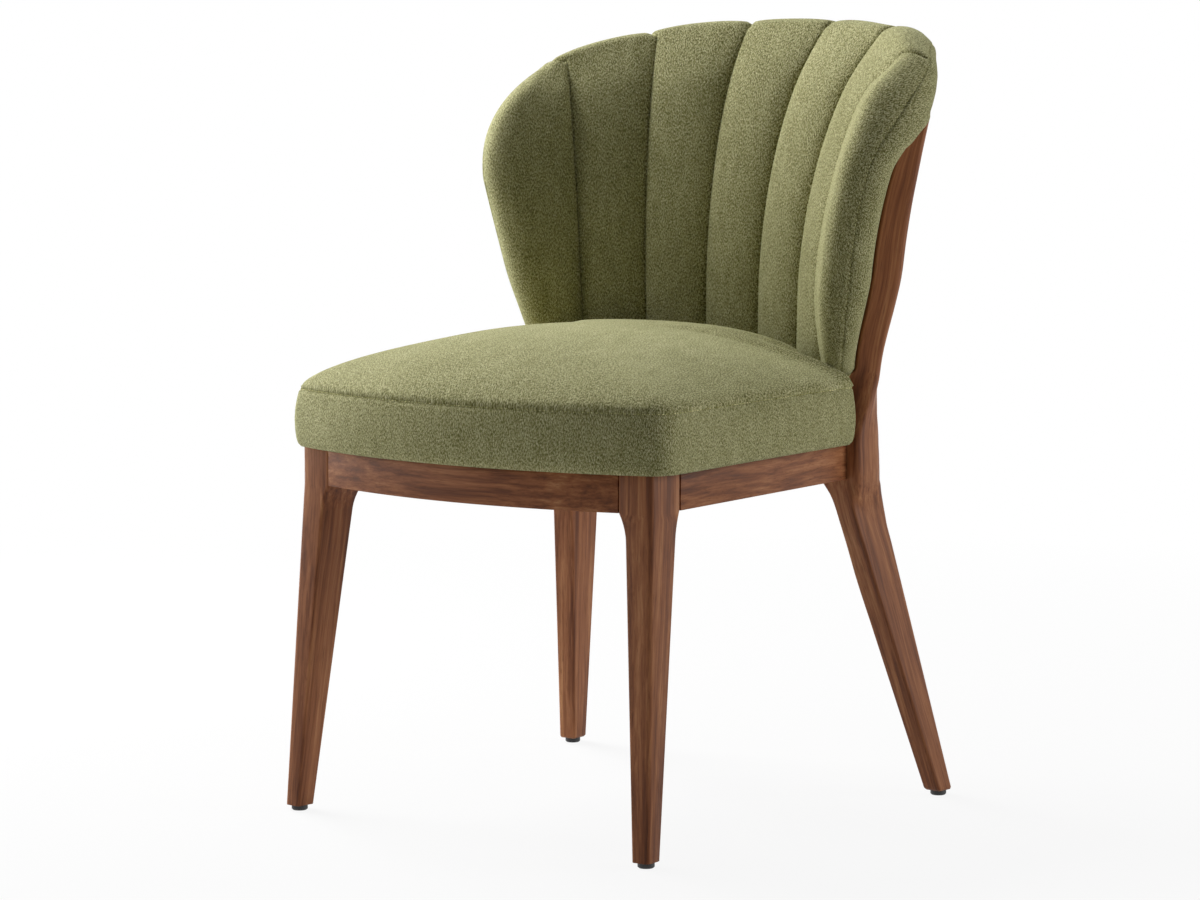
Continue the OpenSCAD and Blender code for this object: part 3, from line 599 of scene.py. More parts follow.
# %% [markdown]
# The front legs and rails are already right in the packed model, except that a
# machine leaves sharp arrises and a sander doesn't. A copy of each is merged, its
# sharp edges are rounded by less than a millimetre, and the grain attribute is
# written on it: along is the distance along the board, across is measured from the
# leg's middle, so the streaks follow a leg where it leans.

# %% Wooden pieces
SANDED = 0.9
LEVELS, LEVEL_POINTS = 15, 24
SHARP = 40  # degrees between faces from which an edge is an arris
BOARD_AXES = {"x": (1, 2, 0), "y": (0, 2, 1), "z": (0, 1, 2)}


def write_grain(mesh, grain, seed):
    """Stores each point's place in its board. The seed picks the board."""
    grain = grain + np.random.default_rng(seed).uniform(-3, 3, 3)
    attribute = mesh.attributes.new("grain", "FLOAT_VECTOR", "POINT")
    attribute.data.foreach_set("vector", grain.astype(np.float32).ravel())


def wooden(node_name, along, seed, limb=False):
    piece = added("walnut_" + node_name, nodes[node_name].data.copy())
    work = bmesh.new()
    work.from_mesh(piece.data)
    bmesh.ops.remove_doubles(work, verts=work.verts, dist=2 * MERGE)
    bmesh.ops.dissolve_limit(work, angle_limit=math.radians(0.6), verts=work.verts, edges=work.edges)
    work.to_mesh(piece.data)
    work.free()
    rounding = piece.modifiers.new("rounding", "BEVEL")
    rounding.width = SANDED * MM
    rounding.segments = 3
    rounding.limit_method = "ANGLE"
    rounding.angle_limit = math.radians(SHARP)
    rounding.use_clamp_overlap = True
    made_real(piece)
    mesh = piece.data
    shade_smooth(mesh)
    mesh.set_sharp_from_angle(angle=math.radians(48))
    co = coordinates(mesh)
    grain = co[:, BOARD_AXES[along]].copy()
    if limb:
        levels = np.linspace(co[:, 2].min(), co[:, 2].max(), LEVELS)
        middles = np.array([co[np.argsort(abs(co[:, 2] - z))[:LEVEL_POINTS], :2].mean(0) for z in levels])
        for k in (0, 1):
            grain[:, k] -= np.interp(co[:, 2], levels, middles[:, k])
    write_grain(mesh, grain, seed)
    mesh.materials.clear()
    mesh.materials.append(walnut)
    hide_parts(node_name)
    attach(piece, "root")
    return piece


print("arrises rounded by %.1f mm" % SANDED)

# %% [markdown]
# The uprights of the rear legs lie on the back, so its curve is needed first. Seen
# from above the back is an arc. Seen from the side its radius is even up to half a
# metre above the floor, and from there it leans out, faster and faster.

# %% Lean and flare of the back
BACK_LOW, EDGE_TOP, BACK_HIGH = 438.0, 756.0, 790.0
RADIUS, LEAN, FLARE = 245.41, 82.0, 24.0
FLARE_LOW, FLARE_SPAN = 500, 300
DEPTH_LOW, DEPTH_HIGH = 26.0, 42.0


def back_radius(z):
    f = np.maximum(0, (z - FLARE_LOW) / FLARE_SPAN)
    return RADIUS + LEAN * f ** 2 + FLARE * f ** 6


def back_slope(z):
    f = np.maximum(0, (z - FLARE_LOW) / FLARE_SPAN)
    return np.arctan((2 * LEAN * f + 6 * FLARE * f ** 5) / FLARE_SPAN)


def back_depth(z):
    """From the stitched surface to the outside."""
    return lerp(DEPTH_LOW, DEPTH_HIGH, smooth((z - BACK_LOW) / 110))


print("radius %.0f mm at the seat, %.0f at the top" % (back_radius(BACK_LOW), back_radius(BACK_HIGH)))

# %% [markdown]
# The rear leg is the hardest piece of the frame. It is cut from one board: a taper
# below the rail, a block at the rail, and above it an upright that twists by half a
# right angle to lie flat on the back. A few measured sections are enough when the
# paths of the five corners between them are smooth curves. The crisp front edge of
# the lower leg dies at the rail's corner, while a softer outer edge takes over.
# The sections are measured from a line that lies AHEAD of the back's axis.

# %% Sections of the rear leg
AHEAD = 193.46
FOOT_Z, BLOCK_Z, UPRIGHT_Z, TIP_Z = 5.5, 333.0, 445, 694
FOOT_AT, BLOCK_AT = np.array([242.91, 468.46]), np.array([179.41, 395.46])
OUT = np.array([math.sin(math.radians(41.5)), math.cos(math.radians(41.5))])
SIDE = np.array([-OUT[1], OUT[0]])
SQUARE = ((-1, -1), (1, -1), (1, 1), (-1, 1))
HALF_UPRIGHT = 13.5
# Height: the corners front inner, front outer, outer, rear outer and rear inner, and their roundings
HAUNCH = {
    306: ([(171.6, 377.2), (196.2, 376.2), (199.2, 387.5), (202, 427.6), (171.6, 428.3)], (3, 3, 7, 8, 4)),
    316: ([(168, 375), (194, 374.6), (200.8, 381.4), (202.4, 426.4), (168, 427.2)], (3, 2.5, 7, 12, 5)),
    325: ([(161.6, 373.9), (191.8, 373.8), (202.8, 377.2), (203.2, 425.2), (165, 426.2)], (3, 2, 7, 15, 6)),
    333: ([(156.6, 373.5), (190.4, 373.96), (204.4, 374.8), (204, 424.2), (163.4, 425.4)], (3, 2, 8, 20, 6)),
    343: ([(162.8, 373.96), (190.2, 373.96), (204.8, 373.9), (204.4, 423.4), (163.4, 424.6)],
          (3, 2, 8, 20, 6)),
    356: ([(163.41, 373.96), (190, 373.96), (204.8, 373.5), (204.4, 422.6), (163.4, 423.2)],
          (3, 2, 8, 20, 6)),
    370: ([(163.41, 373.96), (189, 373.96), (204.4, 373.96), (204.4, 421.46), (163.4, 421.46)],
          (3, 2, 8, 20, 6)),
    416: ([(174, 380.5), (194, 388), (207.3, 397.8), (193.5, 425.1), (168, 411.1)],
          (3.3, 4.7, 10.7, 10.5, 4.6)),
    434: ([(178, 383), (197.8, 395.8), (208.3, 406.8), (189.4, 426.5), (169.8, 407.2)],
          (3.5, 5.8, 11.8, 6.9, 4.1))}
KEYS = np.array([5.5, 60, 120, 180, 230, 262, 288, *HAUNCH,
                 445, 460, 480, 510, 540, 570, 600, 625, 650, 673])
print("rear leg: %d sections, of which %d are written out" % (len(KEYS), len(HAUNCH)))

# %% [markdown]
# Below the rail a section is a tapering rectangle, turned by four degrees. Above it
# the section is a rectangle that faces the back's axis. Each has four corners, so a
# fifth is put on the outer side, where the two rounded edges change places.

# %% Corners at each height
def lower_section(z):
    """Corners of the tapered leg: front inner, front outer, rear outer, rear inner."""
    t = (z - FOOT_Z) / (BLOCK_Z - FOOT_Z)
    wide, deep, a = lerp(20.5, 28, t), lerp(23.5, 54, t), math.radians(-4)
    turn = np.array([[math.cos(a), -math.sin(a)], [math.sin(a), math.cos(a)]])
    middle = lerp(FOOT_AT, BLOCK_AT, t)
    return [middle + turn @ np.array([x * wide / 2, y * deep / 2]) for x, y in SQUARE]


def upright_section(z):
    """Corners of the upright, whose inner face lies on the outside of the back."""
    t = (z - UPRIGHT_Z) / (TIP_Z - UPRIGHT_Z)
    thick = 27.5 + 5 * math.sin(math.pi * min(1, t)) - 3.5 * t ** 4
    r = back_radius(z) + back_depth(z) / math.cos(back_slope(z)) + 0.7 + thick / 2
    middle = np.array([0, AHEAD]) + r * OUT
    return [middle + OUT * x * thick / 2 + SIDE * y * HALF_UPRIGHT for x, y in SQUARE]


def leg_key(z):
    """Five corners and their roundings at one height, in one row."""
    if z in HAUNCH:
        corners, radii = HAUNCH[z]
    elif z < min(HAUNCH):
        fi, fo, ro, ri = lower_section(z)
        fi = fi + np.array([2.4, 0]) * smooth((z - 230) / 50)
        corners, radii = [fi, fo, lerp(fo, ro, 0.33), ro, ri], (3, 3.5, 6, 5, 3)
    else:
        fi, fo, ro, ri = upright_section(z)
        corners, radii = [fi, lerp(fi, fo, 0.5), fo, ro, ri], (3.5, 6, 12, 6, 4)
    return np.concatenate([np.ravel(corners), radii])


KEY_ROWS = np.array([leg_key(z) for z in KEYS])
print("table of sections: %d rows of %d numbers" % KEY_ROWS.shape)

# %% [markdown]
# Between the sections each number follows a cubic curve. Its slope at a section is
# the harmonic mean of the slopes on both sides, which never overshoots, so the leg
# has no bump that the sections don't have. The corners are then cut by short curves.

# %% Between the sections
KEY_STEP = np.diff(KEYS)
rate = np.diff(KEY_ROWS, axis=0) / KEY_STEP[:, None]
below, above = rate[:-1], rate[1:]
even = 2 * below * above / np.where(below + above == 0, 1, below + above)
KEY_SLOPES = np.vstack([rate[:1], np.where(below * above > 0, even, 0), rate[-1:]])


def along_keys(z):
    """The five corners and their roundings at any height."""
    k = int(np.clip(np.searchsorted(KEYS, z) - 1, 0, len(KEYS) - 2))
    step = KEY_STEP[k]
    t = (z - KEYS[k]) / step
    h = [2 * t ** 3 - 3 * t ** 2 + 1, t ** 3 - 2 * t ** 2 + t, 3 * t ** 2 - 2 * t ** 3, t ** 3 - t ** 2]
    row = (h[0] * KEY_ROWS[k] + h[1] * step * KEY_SLOPES[k]
           + h[2] * KEY_ROWS[k + 1] + h[3] * step * KEY_SLOPES[k + 1])
    return row[:10].reshape(5, 2), row[10:]


def rounded(corners, radii, steps=6):
    """Outline with every corner turned into a short curve."""
    line = []
    for k in range(len(corners)):
        p, before, after = corners[k], corners[k - 1], corners[(k + 1) % len(corners)]
        to_b, to_a = before - p, after - p
        lb, la = np.linalg.norm(to_b), np.linalg.norm(to_a)
        r = min(radii[k], 0.46 * lb, 0.46 * la)
        start, end = p + to_b / lb * r, p + to_a / la * r
        for t in np.linspace(0, 1, steps):
            line.append((1 - t) ** 2 * start + 2 * t * (1 - t) * p + t * t * end)
    return np.array(line)


print("outline of a section:", len(rounded(*along_keys(BLOCK_Z))), "points")

# %% [markdown]
# The leg is one tube of rings through these sections. Its foot is slightly
# chamfered. The upper end is cut on a slant that rises outwards, so the last rings
# lean along the back and the very last ones shrink, which rounds the cut's arris.

# %% Rear legs
CUT_LOW, CUT_HIGH = 640.0, 673.0
# Share of the way up the cut, size of the ring and how far it is lifted
CUT_RINGS = ((0.2, 1, 0), (0.45, 1, 0), (0.7, 1, 0), (0.92, 1, 0),
             (1, 1, -1.6), (1, 0.97, -0.6), (1, 0.90, -0.1), (1, 0.8, 0))
LEG_HEIGHTS = np.concatenate([[FOOT_Z, 7.5, 12], np.arange(24, 280, 16), np.arange(280, 452, 4.5),
                              np.arange(456, CUT_LOW, 9)])


def leg_ring(z, shrink):
    corners, radii = along_keys(z)
    middle = corners.mean(0)
    return middle + (rounded(corners, radii) - middle) * shrink, middle


def slant(line, middle, share):
    """How far each point of a ring rises so that the cut slants outwards."""
    u = ((line - middle) @ OUT) / 13.0
    rise = share * (9 + 19 * np.minimum(u, 0.84) - 7 * smooth((-u - 0.45) / 0.6) ** 2)
    return rise, 1 - 0.55 * smooth(u)


def rear_leg(side, seed):
    rings, middles = [], []
    for z in LEG_HEIGHTS:
        line, middle = leg_ring(z, 0.9 if z == FOOT_Z else 1)
        rings.append(np.column_stack([line, np.full(len(line), z)]))
        middles.append(middle)
    lean = (np.array(upright_section(CUT_HIGH + 1)) - np.array(upright_section(CUT_HIGH))).mean(0)
    for share, shrink, lift in CUT_RINGS:
        z = lerp(CUT_LOW, CUT_HIGH, share)
        line, middle = leg_ring(z, shrink)
        rise, follow = slant(line, middle, share)
        rise = rise + lift
        rings.append(np.column_stack([line + lean * (rise * follow)[:, None], z + rise]))
        middles.append(middle)
    n = len(rings[0])
    points = np.concatenate(rings)
    grain = points - np.repeat(np.column_stack([middles, np.zeros(len(middles))]), n, axis=0)
    points[:, 0] *= -1 if side == "left" else 1
    points[:, 1] -= AHEAD
    faces = tube(len(rings), n) + [tuple(range(n))[::-1],
                                   tuple(range((len(rings) - 1) * n, len(rings) * n))]
    piece = new_piece("walnut_rear_leg_" + side, place(points), faces, walnut)
    write_grain(piece.data, grain * MM, seed)
    outward(piece)
    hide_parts("rear_leg_" + side)
    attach(piece, "root")
    return piece


wood = []
for side, seed in (("left", 3), ("right", 8)):
    wood.append(wooden("front_leg_" + side, "z", seed, limb=True))
    wood.append(rear_leg(side, seed + 20))
    wood.append(wooden("side_rail_" + side, "y", seed + 40))
wood.append(wooden("front_rail", "x", 61))
wood.append(wooden("rear_rail", "x", 62))
print("wooden pieces: %d, faces: %d" % (len(wood), sum(len(p.data.polygons) for p in wood)))

# %% [markdown]
# Hidden and small hardware keeps the packed shapes and only gets its finish, by the
# first letters of the nodes' names. The shell's finish goes on to its copy below.

# %% Finishes of the packed nodes that stay
for material, starts in ((beech, ("corner_block_front", "corner_block_rear", "rail_dowels")),
                         (plywood, ("seat_panel", "back_shell")),
                         (steel, ("corner_block_screws", "seat_screws", "back_bolts", "glide_nails")),
                         (nylon, ("glide_front", "glide_rear"))):
    kept = [key for key in nodes if key.startswith(starts)]
    for key in kept:
        nodes[key].data.materials.clear()
        nodes[key].data.materials.append(material)
    print("%s: %d nodes" % (material.name, len(kept)))

# %% [markdown]
# The back is a flared barrel with seven channels that fan out a little towards the
# top. These few rules are its whole form, so they are written as functions of height
# and direction: how far the wings reach round, how high and low the face goes, and
# where each seam runs.

# %% Rules of the back
CHANNELS, PITCH, SWELL, WING_SWELL = 7, 16.6, 13.0, 16.5
SEAM_FAN = 0.07
WING_AZ, WIDEST_Z = 58.3, 640


def wing_edge(z):
    """How far the wings reach round, in degrees. They are widest half way up."""
    high = WING_AZ - 14.45 * np.clip((z - WIDEST_Z) / 116, 0, 1) ** 2.05
    low = (WING_AZ - 9.8 * np.clip((WIDEST_Z - z) / 202, 0, 1) ** 1.2
           - 2.2 * np.clip((476 - z) / 38, 0, 1) ** 2)
    return np.where(z > WIDEST_Z, high, low)


def top_height(az):
    """Height of the face's upper edge. The photographed crest is a little fuller on its right."""
    fuller = np.where(az > 0, 7.0, -1.5) * smooth((np.abs(az) - 20) / 18)
    return BACK_HIGH - 35.6 * np.minimum(1, np.abs(az) / 43.85) ** 2.75 + fuller


def low_height(az):
    return BACK_LOW + 2 + 10 * smooth((np.abs(az) - 30) / 12) - 6 * smooth((np.abs(az) - 41) / 5)


def seam_az(k, b):
    """Direction of seam k at a share b of the height. The outer two are the wings' edges."""
    if k in (0, CHANNELS):
        return wing_edge(lerp(BACK_LOW, EDGE_TOP, b)) * (1 if k else -1)
    return (k - CHANNELS / 2) * PITCH * (1 + SEAM_FAN * (b - 0.5))


def back_point(az, z, depth, rise=0.0, side=0.0):
    """A point of the back in millimetres from its axis."""
    s, a = back_slope(z), np.radians(az)
    r = back_radius(z) + depth * np.cos(s) + rise * np.sin(s)
    up = z - depth * np.sin(s) + rise * np.cos(s)
    return np.stack([r * np.sin(a) + side * np.cos(a), r * np.cos(a) - side * np.sin(a), up], -1)


print("crest at %.0f mm in the middle" % top_height(0.0))

# %% [markdown]
# The padded face is a grid: columns follow the channels and crowd at the seams,
# where the cloth dives into a groove, and rows run from the seat to the top. Each
# channel swells out of its seams and flattens towards the top edge. The outer two
# are only half channels, fuller than the others, and lose that at their foot.

# %% Grid of the padded face
PER_CHANNEL, ROWS = 20, 90
share = (1 - np.cos(np.pi * np.arange(PER_CHANNEL) / PER_CHANNEL)) / 2
column_channel = np.append(np.repeat(np.arange(CHANNELS), PER_CHANNEL), CHANNELS - 1)
column_share = np.append(np.tile(share, CHANNELS), 1.0)
b_rows = np.linspace(0, 1, ROWS + 1)
seams = np.stack([seam_az(k, b_rows) for k in range(CHANNELS + 1)], 1)
face_az = lerp(seams[:, column_channel], seams[:, column_channel + 1], column_share[None, :])
face_z = lerp(low_height(face_az), top_height(face_az), b_rows[:, None])


def channel_round(b, channel, s, width):
    """How far a channel stands out, at a share s of its width and b of its height."""
    q = np.where(channel == 0, np.minimum(1, 2 * (1 - s)),
                 np.where(channel == CHANNELS - 1, np.minimum(1, 2 * s), 1 - np.abs(2 * s - 1)))
    end = (channel == 0) | (channel == CHANNELS - 1)
    q = np.where(end, np.minimum(1, 1.5 * q), q)
    wide = np.clip(width / 9, 0, 1)
    flat = 1 - 0.5 * smooth((b - 0.82) / 0.18)
    foot = np.where(end, 1 - 0.45 * smooth((0.24 - b) / 0.24), 1)
    return np.where(end, WING_SWELL, SWELL) * foot * wide * flat * np.maximum(0, 1 - (1 - q) ** 2.3) ** 0.55


width = seams[:, column_channel + 1] - seams[:, column_channel]
face_swell = channel_round(b_rows[:, None], column_channel[None, :], column_share[None, :], width)
print("padded face: %d rows, %d columns" % face_az.shape)

# %% [markdown]
# Outside, the cover follows the shell, with two exceptions. Ahead of the uprights
# the wings are thinner, and above the uprights' slanted ends the cloth bulges out
# over them. Both are profiles of radius over height, read between their points. The
# surface leans, so the depth that gives a radius is found by small steps.

# %% Outside of the back
WING_PROFILE = [
    (640, 307.5), (652, 309), (660, 310.5), (666, 314), (673, 320.5), (684, 329), (694, 336.5), (705, 341),
    (713, 344.5), (721, 348), (729, 350.5), (737, 353), (749, 357), (762, 360), (780, 359), (800, 355)]
POST_PROFILE = [
    (640, 307.3), (653, 311.7), (656.3, 314), (667.7, 321.9), (673.5, 327.1), (682, 335.9), (691.5, 343.8),
    (698, 347.5), (706, 347.5), (713, 348.5), (721, 350), (729, 351.5), (737, 353.5), (749, 357),
    (762, 360), (780, 359), (800, 355)]
BULGE_FROM, STEPS_TO_DEPTH = 668, 40


def outer_depth(az, z):
    away = smooth((np.abs(az) - 26) / 12)
    s = back_slope(z)
    plain = back_depth(z) + 7.0 * smooth((np.abs(az) - 8) / 20) * smooth((z - 700) / 40)
    full = back_depth(z)
    ahead = smooth((np.abs(az) - 44.2) / 3.6)
    for _ in range(STEPS_TO_DEPTH):
        up = z - full * np.sin(s)
        radius = lerp(np.interp(up, *zip(*POST_PROFILE)), np.interp(up, *zip(*WING_PROFILE)), ahead)
        full = 0.5 * full + 0.5 * (radius - back_radius(z)) / np.cos(s)
    full = np.where(z > BULGE_FROM, np.maximum(full, back_depth(z)), back_depth(z))
    thin = 6.5 * smooth((np.abs(az) - 43.5) / 5) * (1 - smooth((z - 655) / 40))
    return lerp(plain, full, away) - thin


depths = outer_depth(face_az, face_z)
print("outside of the back %.0f to %.0f mm behind the seams" % (depths.min(), depths.max()))

# %% [markdown]
# Round the two wings and the top the cover rolls over the edge of the foam. One
# strip follows that whole edge, from the foot of one wing over the top to the foot
# of the other, and leaves the face at right angles to the edge, so the corners come
# out as full as the sides. The strip is a half ellipse from face to outside.

# %% Edge of the back and its roll
COLS = face_az.shape[1] - 1
NORMAL_SPREAD = 16.0
er, ec = np.array([(r, 0) for r in range(ROWS + 1)] + [(ROWS, c) for c in range(1, COLS)]
                  + [(r, COLS) for r in range(ROWS, -1, -1)]).T
e_az, e_z, e_swell = face_az[er, ec], face_z[er, ec], face_swell[er, ec]


def edge_normals(az, z):
    """Direction out of the edge within the surface, as (sideways, upwards), and way along it."""
    flat = np.stack([np.radians(az) * back_radius(z), z / np.cos(back_slope(z))], 1)
    step = np.diff(flat, axis=0)
    length = np.linalg.norm(step, axis=1)
    middle = np.cumsum(length) - length / 2
    at = np.append(0, np.cumsum(length))
    weight = np.exp(-((at[:, None] - middle[None, :]) / NORMAL_SPREAD) ** 2)
    along = weight @ step
    along /= np.linalg.norm(along, axis=1)[:, None]
    return np.stack([-along[:, 1], along[:, 0]], 1), at


e_normal, e_at = edge_normals(e_az, e_z)
around_top = smooth((e_normal[:, 1] - 0.45) / 0.5)
e_reach = (lerp(15.0, 22.0, smooth((e_z - BACK_LOW) / 110))
           + 4.0 * around_top * smooth((np.abs(e_az) - 20) / 20))
e_reach *= 1 - 0.5 * np.clip((474 - e_z) / 30, 0, 1) ** 2
e_out = outer_depth(e_az, e_z)
seam_turn = np.radians(lerp(98.0, 118.0, around_top))
seam_columns = [ROWS + k * PER_CHANNEL for k in range(1, CHANNELS)]
from_seam = np.min([np.abs(e_at - e_at[i]) for i in seam_columns], axis=0)
e_groove = 3.4 * np.exp(-(from_seam / 3.2) ** 2)


def strip_point(turn, inset):
    """A point of the roll. turn goes from 0 at the face to half a circle at the outside."""
    inset = inset + e_groove * (1 - smooth((turn - seam_turn * 0.8) / (seam_turn * 0.2)))
    c, h = (e_out - e_swell) / 2, (e_out + e_swell) / 2
    bend = np.where(np.cos(turn) < 0, lerp(1.0, 0.62, around_top), 1.0)
    depth = c - (h - inset) * np.sign(np.cos(turn)) * np.abs(np.cos(turn)) ** bend
    reach = (e_reach - inset) * np.sin(turn) ** bend
    return back_point(e_az, e_z, depth, e_normal[:, 1] * reach, e_normal[:, 0] * reach)


print("edge of the back: %.0f mm round" % e_at[-1])

# %% [markdown]
# Two covers meet on that strip: the channelled inside back is sewn to the outside
# back along the front of each wing, and behind the crest at the top. Their points
# are gathered row by row, with a cloth coordinate each, and faces join the rows.

# %% Rows of a cover
WRAP = 262  # radius at which the cloth's width is measured


class Cover:
    def __init__(self):
        self.points, self.uv, self.faces = np.empty((0, 3)), np.empty((0, 2)), []

    def add(self, points, uv):
        """Adds points and returns their numbers."""
        start = len(self.points)
        self.points = np.concatenate([self.points, points.reshape(-1, 3)])
        self.uv = np.concatenate([self.uv, uv.reshape(-1, 2)])
        return np.arange(start, len(self.points))

    def grid(self, points, uv):
        return self.add(points, uv).reshape(ROWS + 1, COLS + 1)

    def join(self, g, over=False):
        """Faces between the rows of a grid. over turns them round."""
        for r in range(len(g) - 1):
            for c in range(len(g[r]) - 1):
                q = (g[r][c], g[r][c + 1], g[r + 1][c + 1], g[r + 1][c])
                self.faces.append(q[::-1] if over else q)


def cloth_coordinates(az, z, out_side=0.0, out_up=0.0):
    return np.stack([(np.radians(az) * WRAP + out_side) * MM, (z + out_up) * MM], -1)


print("cloth coordinates at 45 degrees: %.3f, %.3f" % tuple(cloth_coordinates(45.0, BACK_LOW)))

# %% [markdown]
# Below, the padding is rounded off: a few rings lead in and down from the loop of
# its lowest points, and the last ring is closed by flat faces.

# %% Foot of the padding
# Size of each ring and how far it drops
FOOT_RINGS = ((0.975, 2.2), (0.90, 4.3), (0.77, 6.0), (0.58, 7.2), (0.3, 8.0))


def close_foot(cover, front, sides, rear):
    """Rounds off the padding below, from the loop of its lowest points to a flat middle."""
    n, half, m = len(front) + len(rear) + 2 * len(sides), len(front), len(sides)
    loop = np.concatenate([front, [row[-1] for row in sides], rear[::-1], [row[0] for row in sides][::-1]])
    az = np.concatenate([face_az[0], np.full(m, face_az[0, -1]), face_az[0][::-1], np.full(m, face_az[0, 0])])
    middle = back_point(az, np.full(n, BACK_LOW), np.full(n, 7.0))
    rim = cover.points[loop]
    for keep, drop in FOOT_RINGS:
        p = middle + (rim - middle) * keep
        p[:, 2] = rim[:, 2] - drop * 1.3
        ring = cover.add(p, cloth_coordinates(az, np.full(n, BACK_LOW - drop * 2)))
        cover.faces += [(loop[i], ring[i], ring[(i + 1) % n], loop[(i + 1) % n]) for i in range(n)]
        loop = ring
    far = 2 * half + m - 1
    cover.faces += [(loop[i], loop[far - i], loop[far - 1 - i], loop[i + 1]) for i in range(half - 1)]
    cover.faces.append([loop[i] for i in range(half - 1, half + m + 1)])
    cover.faces.append([loop[i % n] for i in range(far, 2 * half + 2 * m + 1)])


print("foot: %d rings, %.0f mm deep" % (len(FOOT_RINGS), 1.3 * FOOT_RINGS[-1][1]))

# %% [markdown]
# A cover is the roll and the sheets that it joins. The inside piece goes on under
# the outside cover as padding, so it steps in behind the seam by the skin's room.
# Both dip a little at the seam itself, where the thread pulls them down.

# %% Roll and sheets
SKIN = 2.0
ROLL_TO_SEAM, ROLL_BEHIND = 16, 12
DIP, DIP_WIDTH, ROLL_R = 0.9, 1.6, 22


def seam_dip(turn):
    return DIP * np.exp(-((turn - seam_turn) * ROLL_R / DIP_WIDTH) ** 2)


def back_form(inner):
    """The inside back, or the outside cover where inner is false."""
    cover, rings, gap = Cover(), [], 0.0
    behind = [lerp(seam_turn, np.pi, k / ROLL_BEHIND) for k in range(ROLL_BEHIND)]
    if inner:
        gap = SKIN
        front = cover.grid(back_point(face_az, face_z, -face_swell), cloth_coordinates(face_az, face_z))
        rings.append(front[er, ec])
        ahead = [seam_turn * k / ROLL_TO_SEAM for k in range(1, ROLL_TO_SEAM + 1)]
        turns = [(turn, seam_dip(turn)) for turn in ahead] + [(turn, SKIN) for turn in behind[1:]]
    else:
        turns = [(turn, seam_dip(turn)) for turn in behind]
    for turn, inset in turns:
        arc = turn * 23
        rings.append(cover.add(strip_point(turn, inset), cloth_coordinates(
            e_az, e_z, e_normal[:, 0] * arc, e_normal[:, 1] * arc)))
    rear = cover.grid(back_point(face_az, face_z, outer_depth(face_az, face_z) - gap),
                      cloth_coordinates(face_az + 90, face_z))
    rings.append(rear[er, ec])
    cover.join(rings)
    if inner:
        cover.join(front)
    cover.join(rear, over=True)
    if inner:
        close_foot(cover, front[0], rings[1:-1], rear[0])
    return cover


inside = back_form(True)
print("inside back: %d points before merging" % len(inside.points))

# %% [markdown]
# The inside back is pressed up by air between its seams. They are held, and so are
# its lower end and all that lies behind the foam's middle, where the shell is.

# %% Inside back
inside_back = new_piece("inside_back", place(inside.points), inside.faces, cloth_finish,
                        inside.uv)
outward(inside_back)
held_lines = [place(back_point(line, lerp(low_height(line), top_height(line), b_rows), 0.0))
              for line in seams.T[1:CHANNELS]]
held_lines += [place(strip_point(seam_turn, 0.0)), place(back_point(face_az[0], face_z[0], 0.0))]
near_back = near_lines(np.concatenate(held_lines))


def back_held(co):
    x, y, z = co[:, 0] / MM, (co[:, 1] - AXIS_Y) / MM, co[:, 2] / MM
    behind = smooth((np.hypot(x, y) - back_radius(z) - 8) / 14)
    return np.maximum(near_back(co), np.maximum(behind * (z < 740), z < 462))


blown_up(inside_back, back_held, voxel=6.0, cap=3.0)
print("inside back:", len(inside_back.data.polygons), "faces")

# %% [markdown]
# The outside back is one smooth panel from one wing's seam to the other's, and it
# lies between the padding and the uprights. It is a thin skin, so Solidify gives it
# its thickness inwards. A row of stitches closes the seam.

# %% Outside back
outside = back_form(False)
outside_back = new_piece("outside_back_cover", place(outside.points), outside.faces, cloth_finish,
                         outside.uv)
outward(outside_back)
sewn("wing_seam_stitches", place(strip_point(seam_turn, 0.75)), False, thread=0.0009)
walled(outside_back, 1.4 * MM)
print("outside back:", len(outside_back.data.polygons), "faces")

# %% [markdown]
# Between the padding and that panel is a bent plywood shell. The packed one fits the
# machining model, whose wings are thicker than sewn ones, so a copy of it has its
# wings pressed a few millimetres further in, where the cover hides them.

# %% Plywood shell
PRESSED_IN, PRESSED_FROM = 5.5 * MM, 43.3
plywood_shell = added("plywood_back_shell", nodes["back_shell"].data.copy())
outward(plywood_shell, 2 * MERGE)
for point in plywood_shell.data.vertices:
    x, y = point.co.x, point.co.y - AXIS_Y
    beyond = smooth((math.degrees(math.atan2(abs(x), y)) - PRESSED_FROM) / 3.5)
    pressed = 1 - PRESSED_IN * beyond / math.hypot(x, y)
    point.co.x, point.co.y = x * pressed, AXIS_Y + y * pressed
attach(plywood_shell, "root")
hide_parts("back_shell")
print("plywood shell:", len(plywood_shell.data.polygons), "faces")

# %% [markdown]
# The seat has a bowed front, straight sides that close by five degrees and notches
# at the rear for the legs. Its outline is walked once as arcs and lines, and then
# cut into equal steps so that every ring of the cushion has the same columns.

# %% Outline of the seat
STEPS = 440
TILT = math.radians(5)
ALONG, ACROSS = np.array([math.cos(TILT), math.sin(TILT)]), np.array([-math.sin(TILT), math.cos(TILT)])
FRONT_JOINT, REAR_JOINT = np.array([217.95, 58.66]), np.array([190.41, 373.46])
BOW_R, BOW_Y = 579.27, 554.27
NOTCH_X, SEAT_REAR, NOTCH_R = 163.41, 407.46, 8


def arc(middle, radius, start, end, count):
    return [middle + radius * np.array([math.cos(t), math.sin(t)]) for t in np.linspace(start, end, count)]


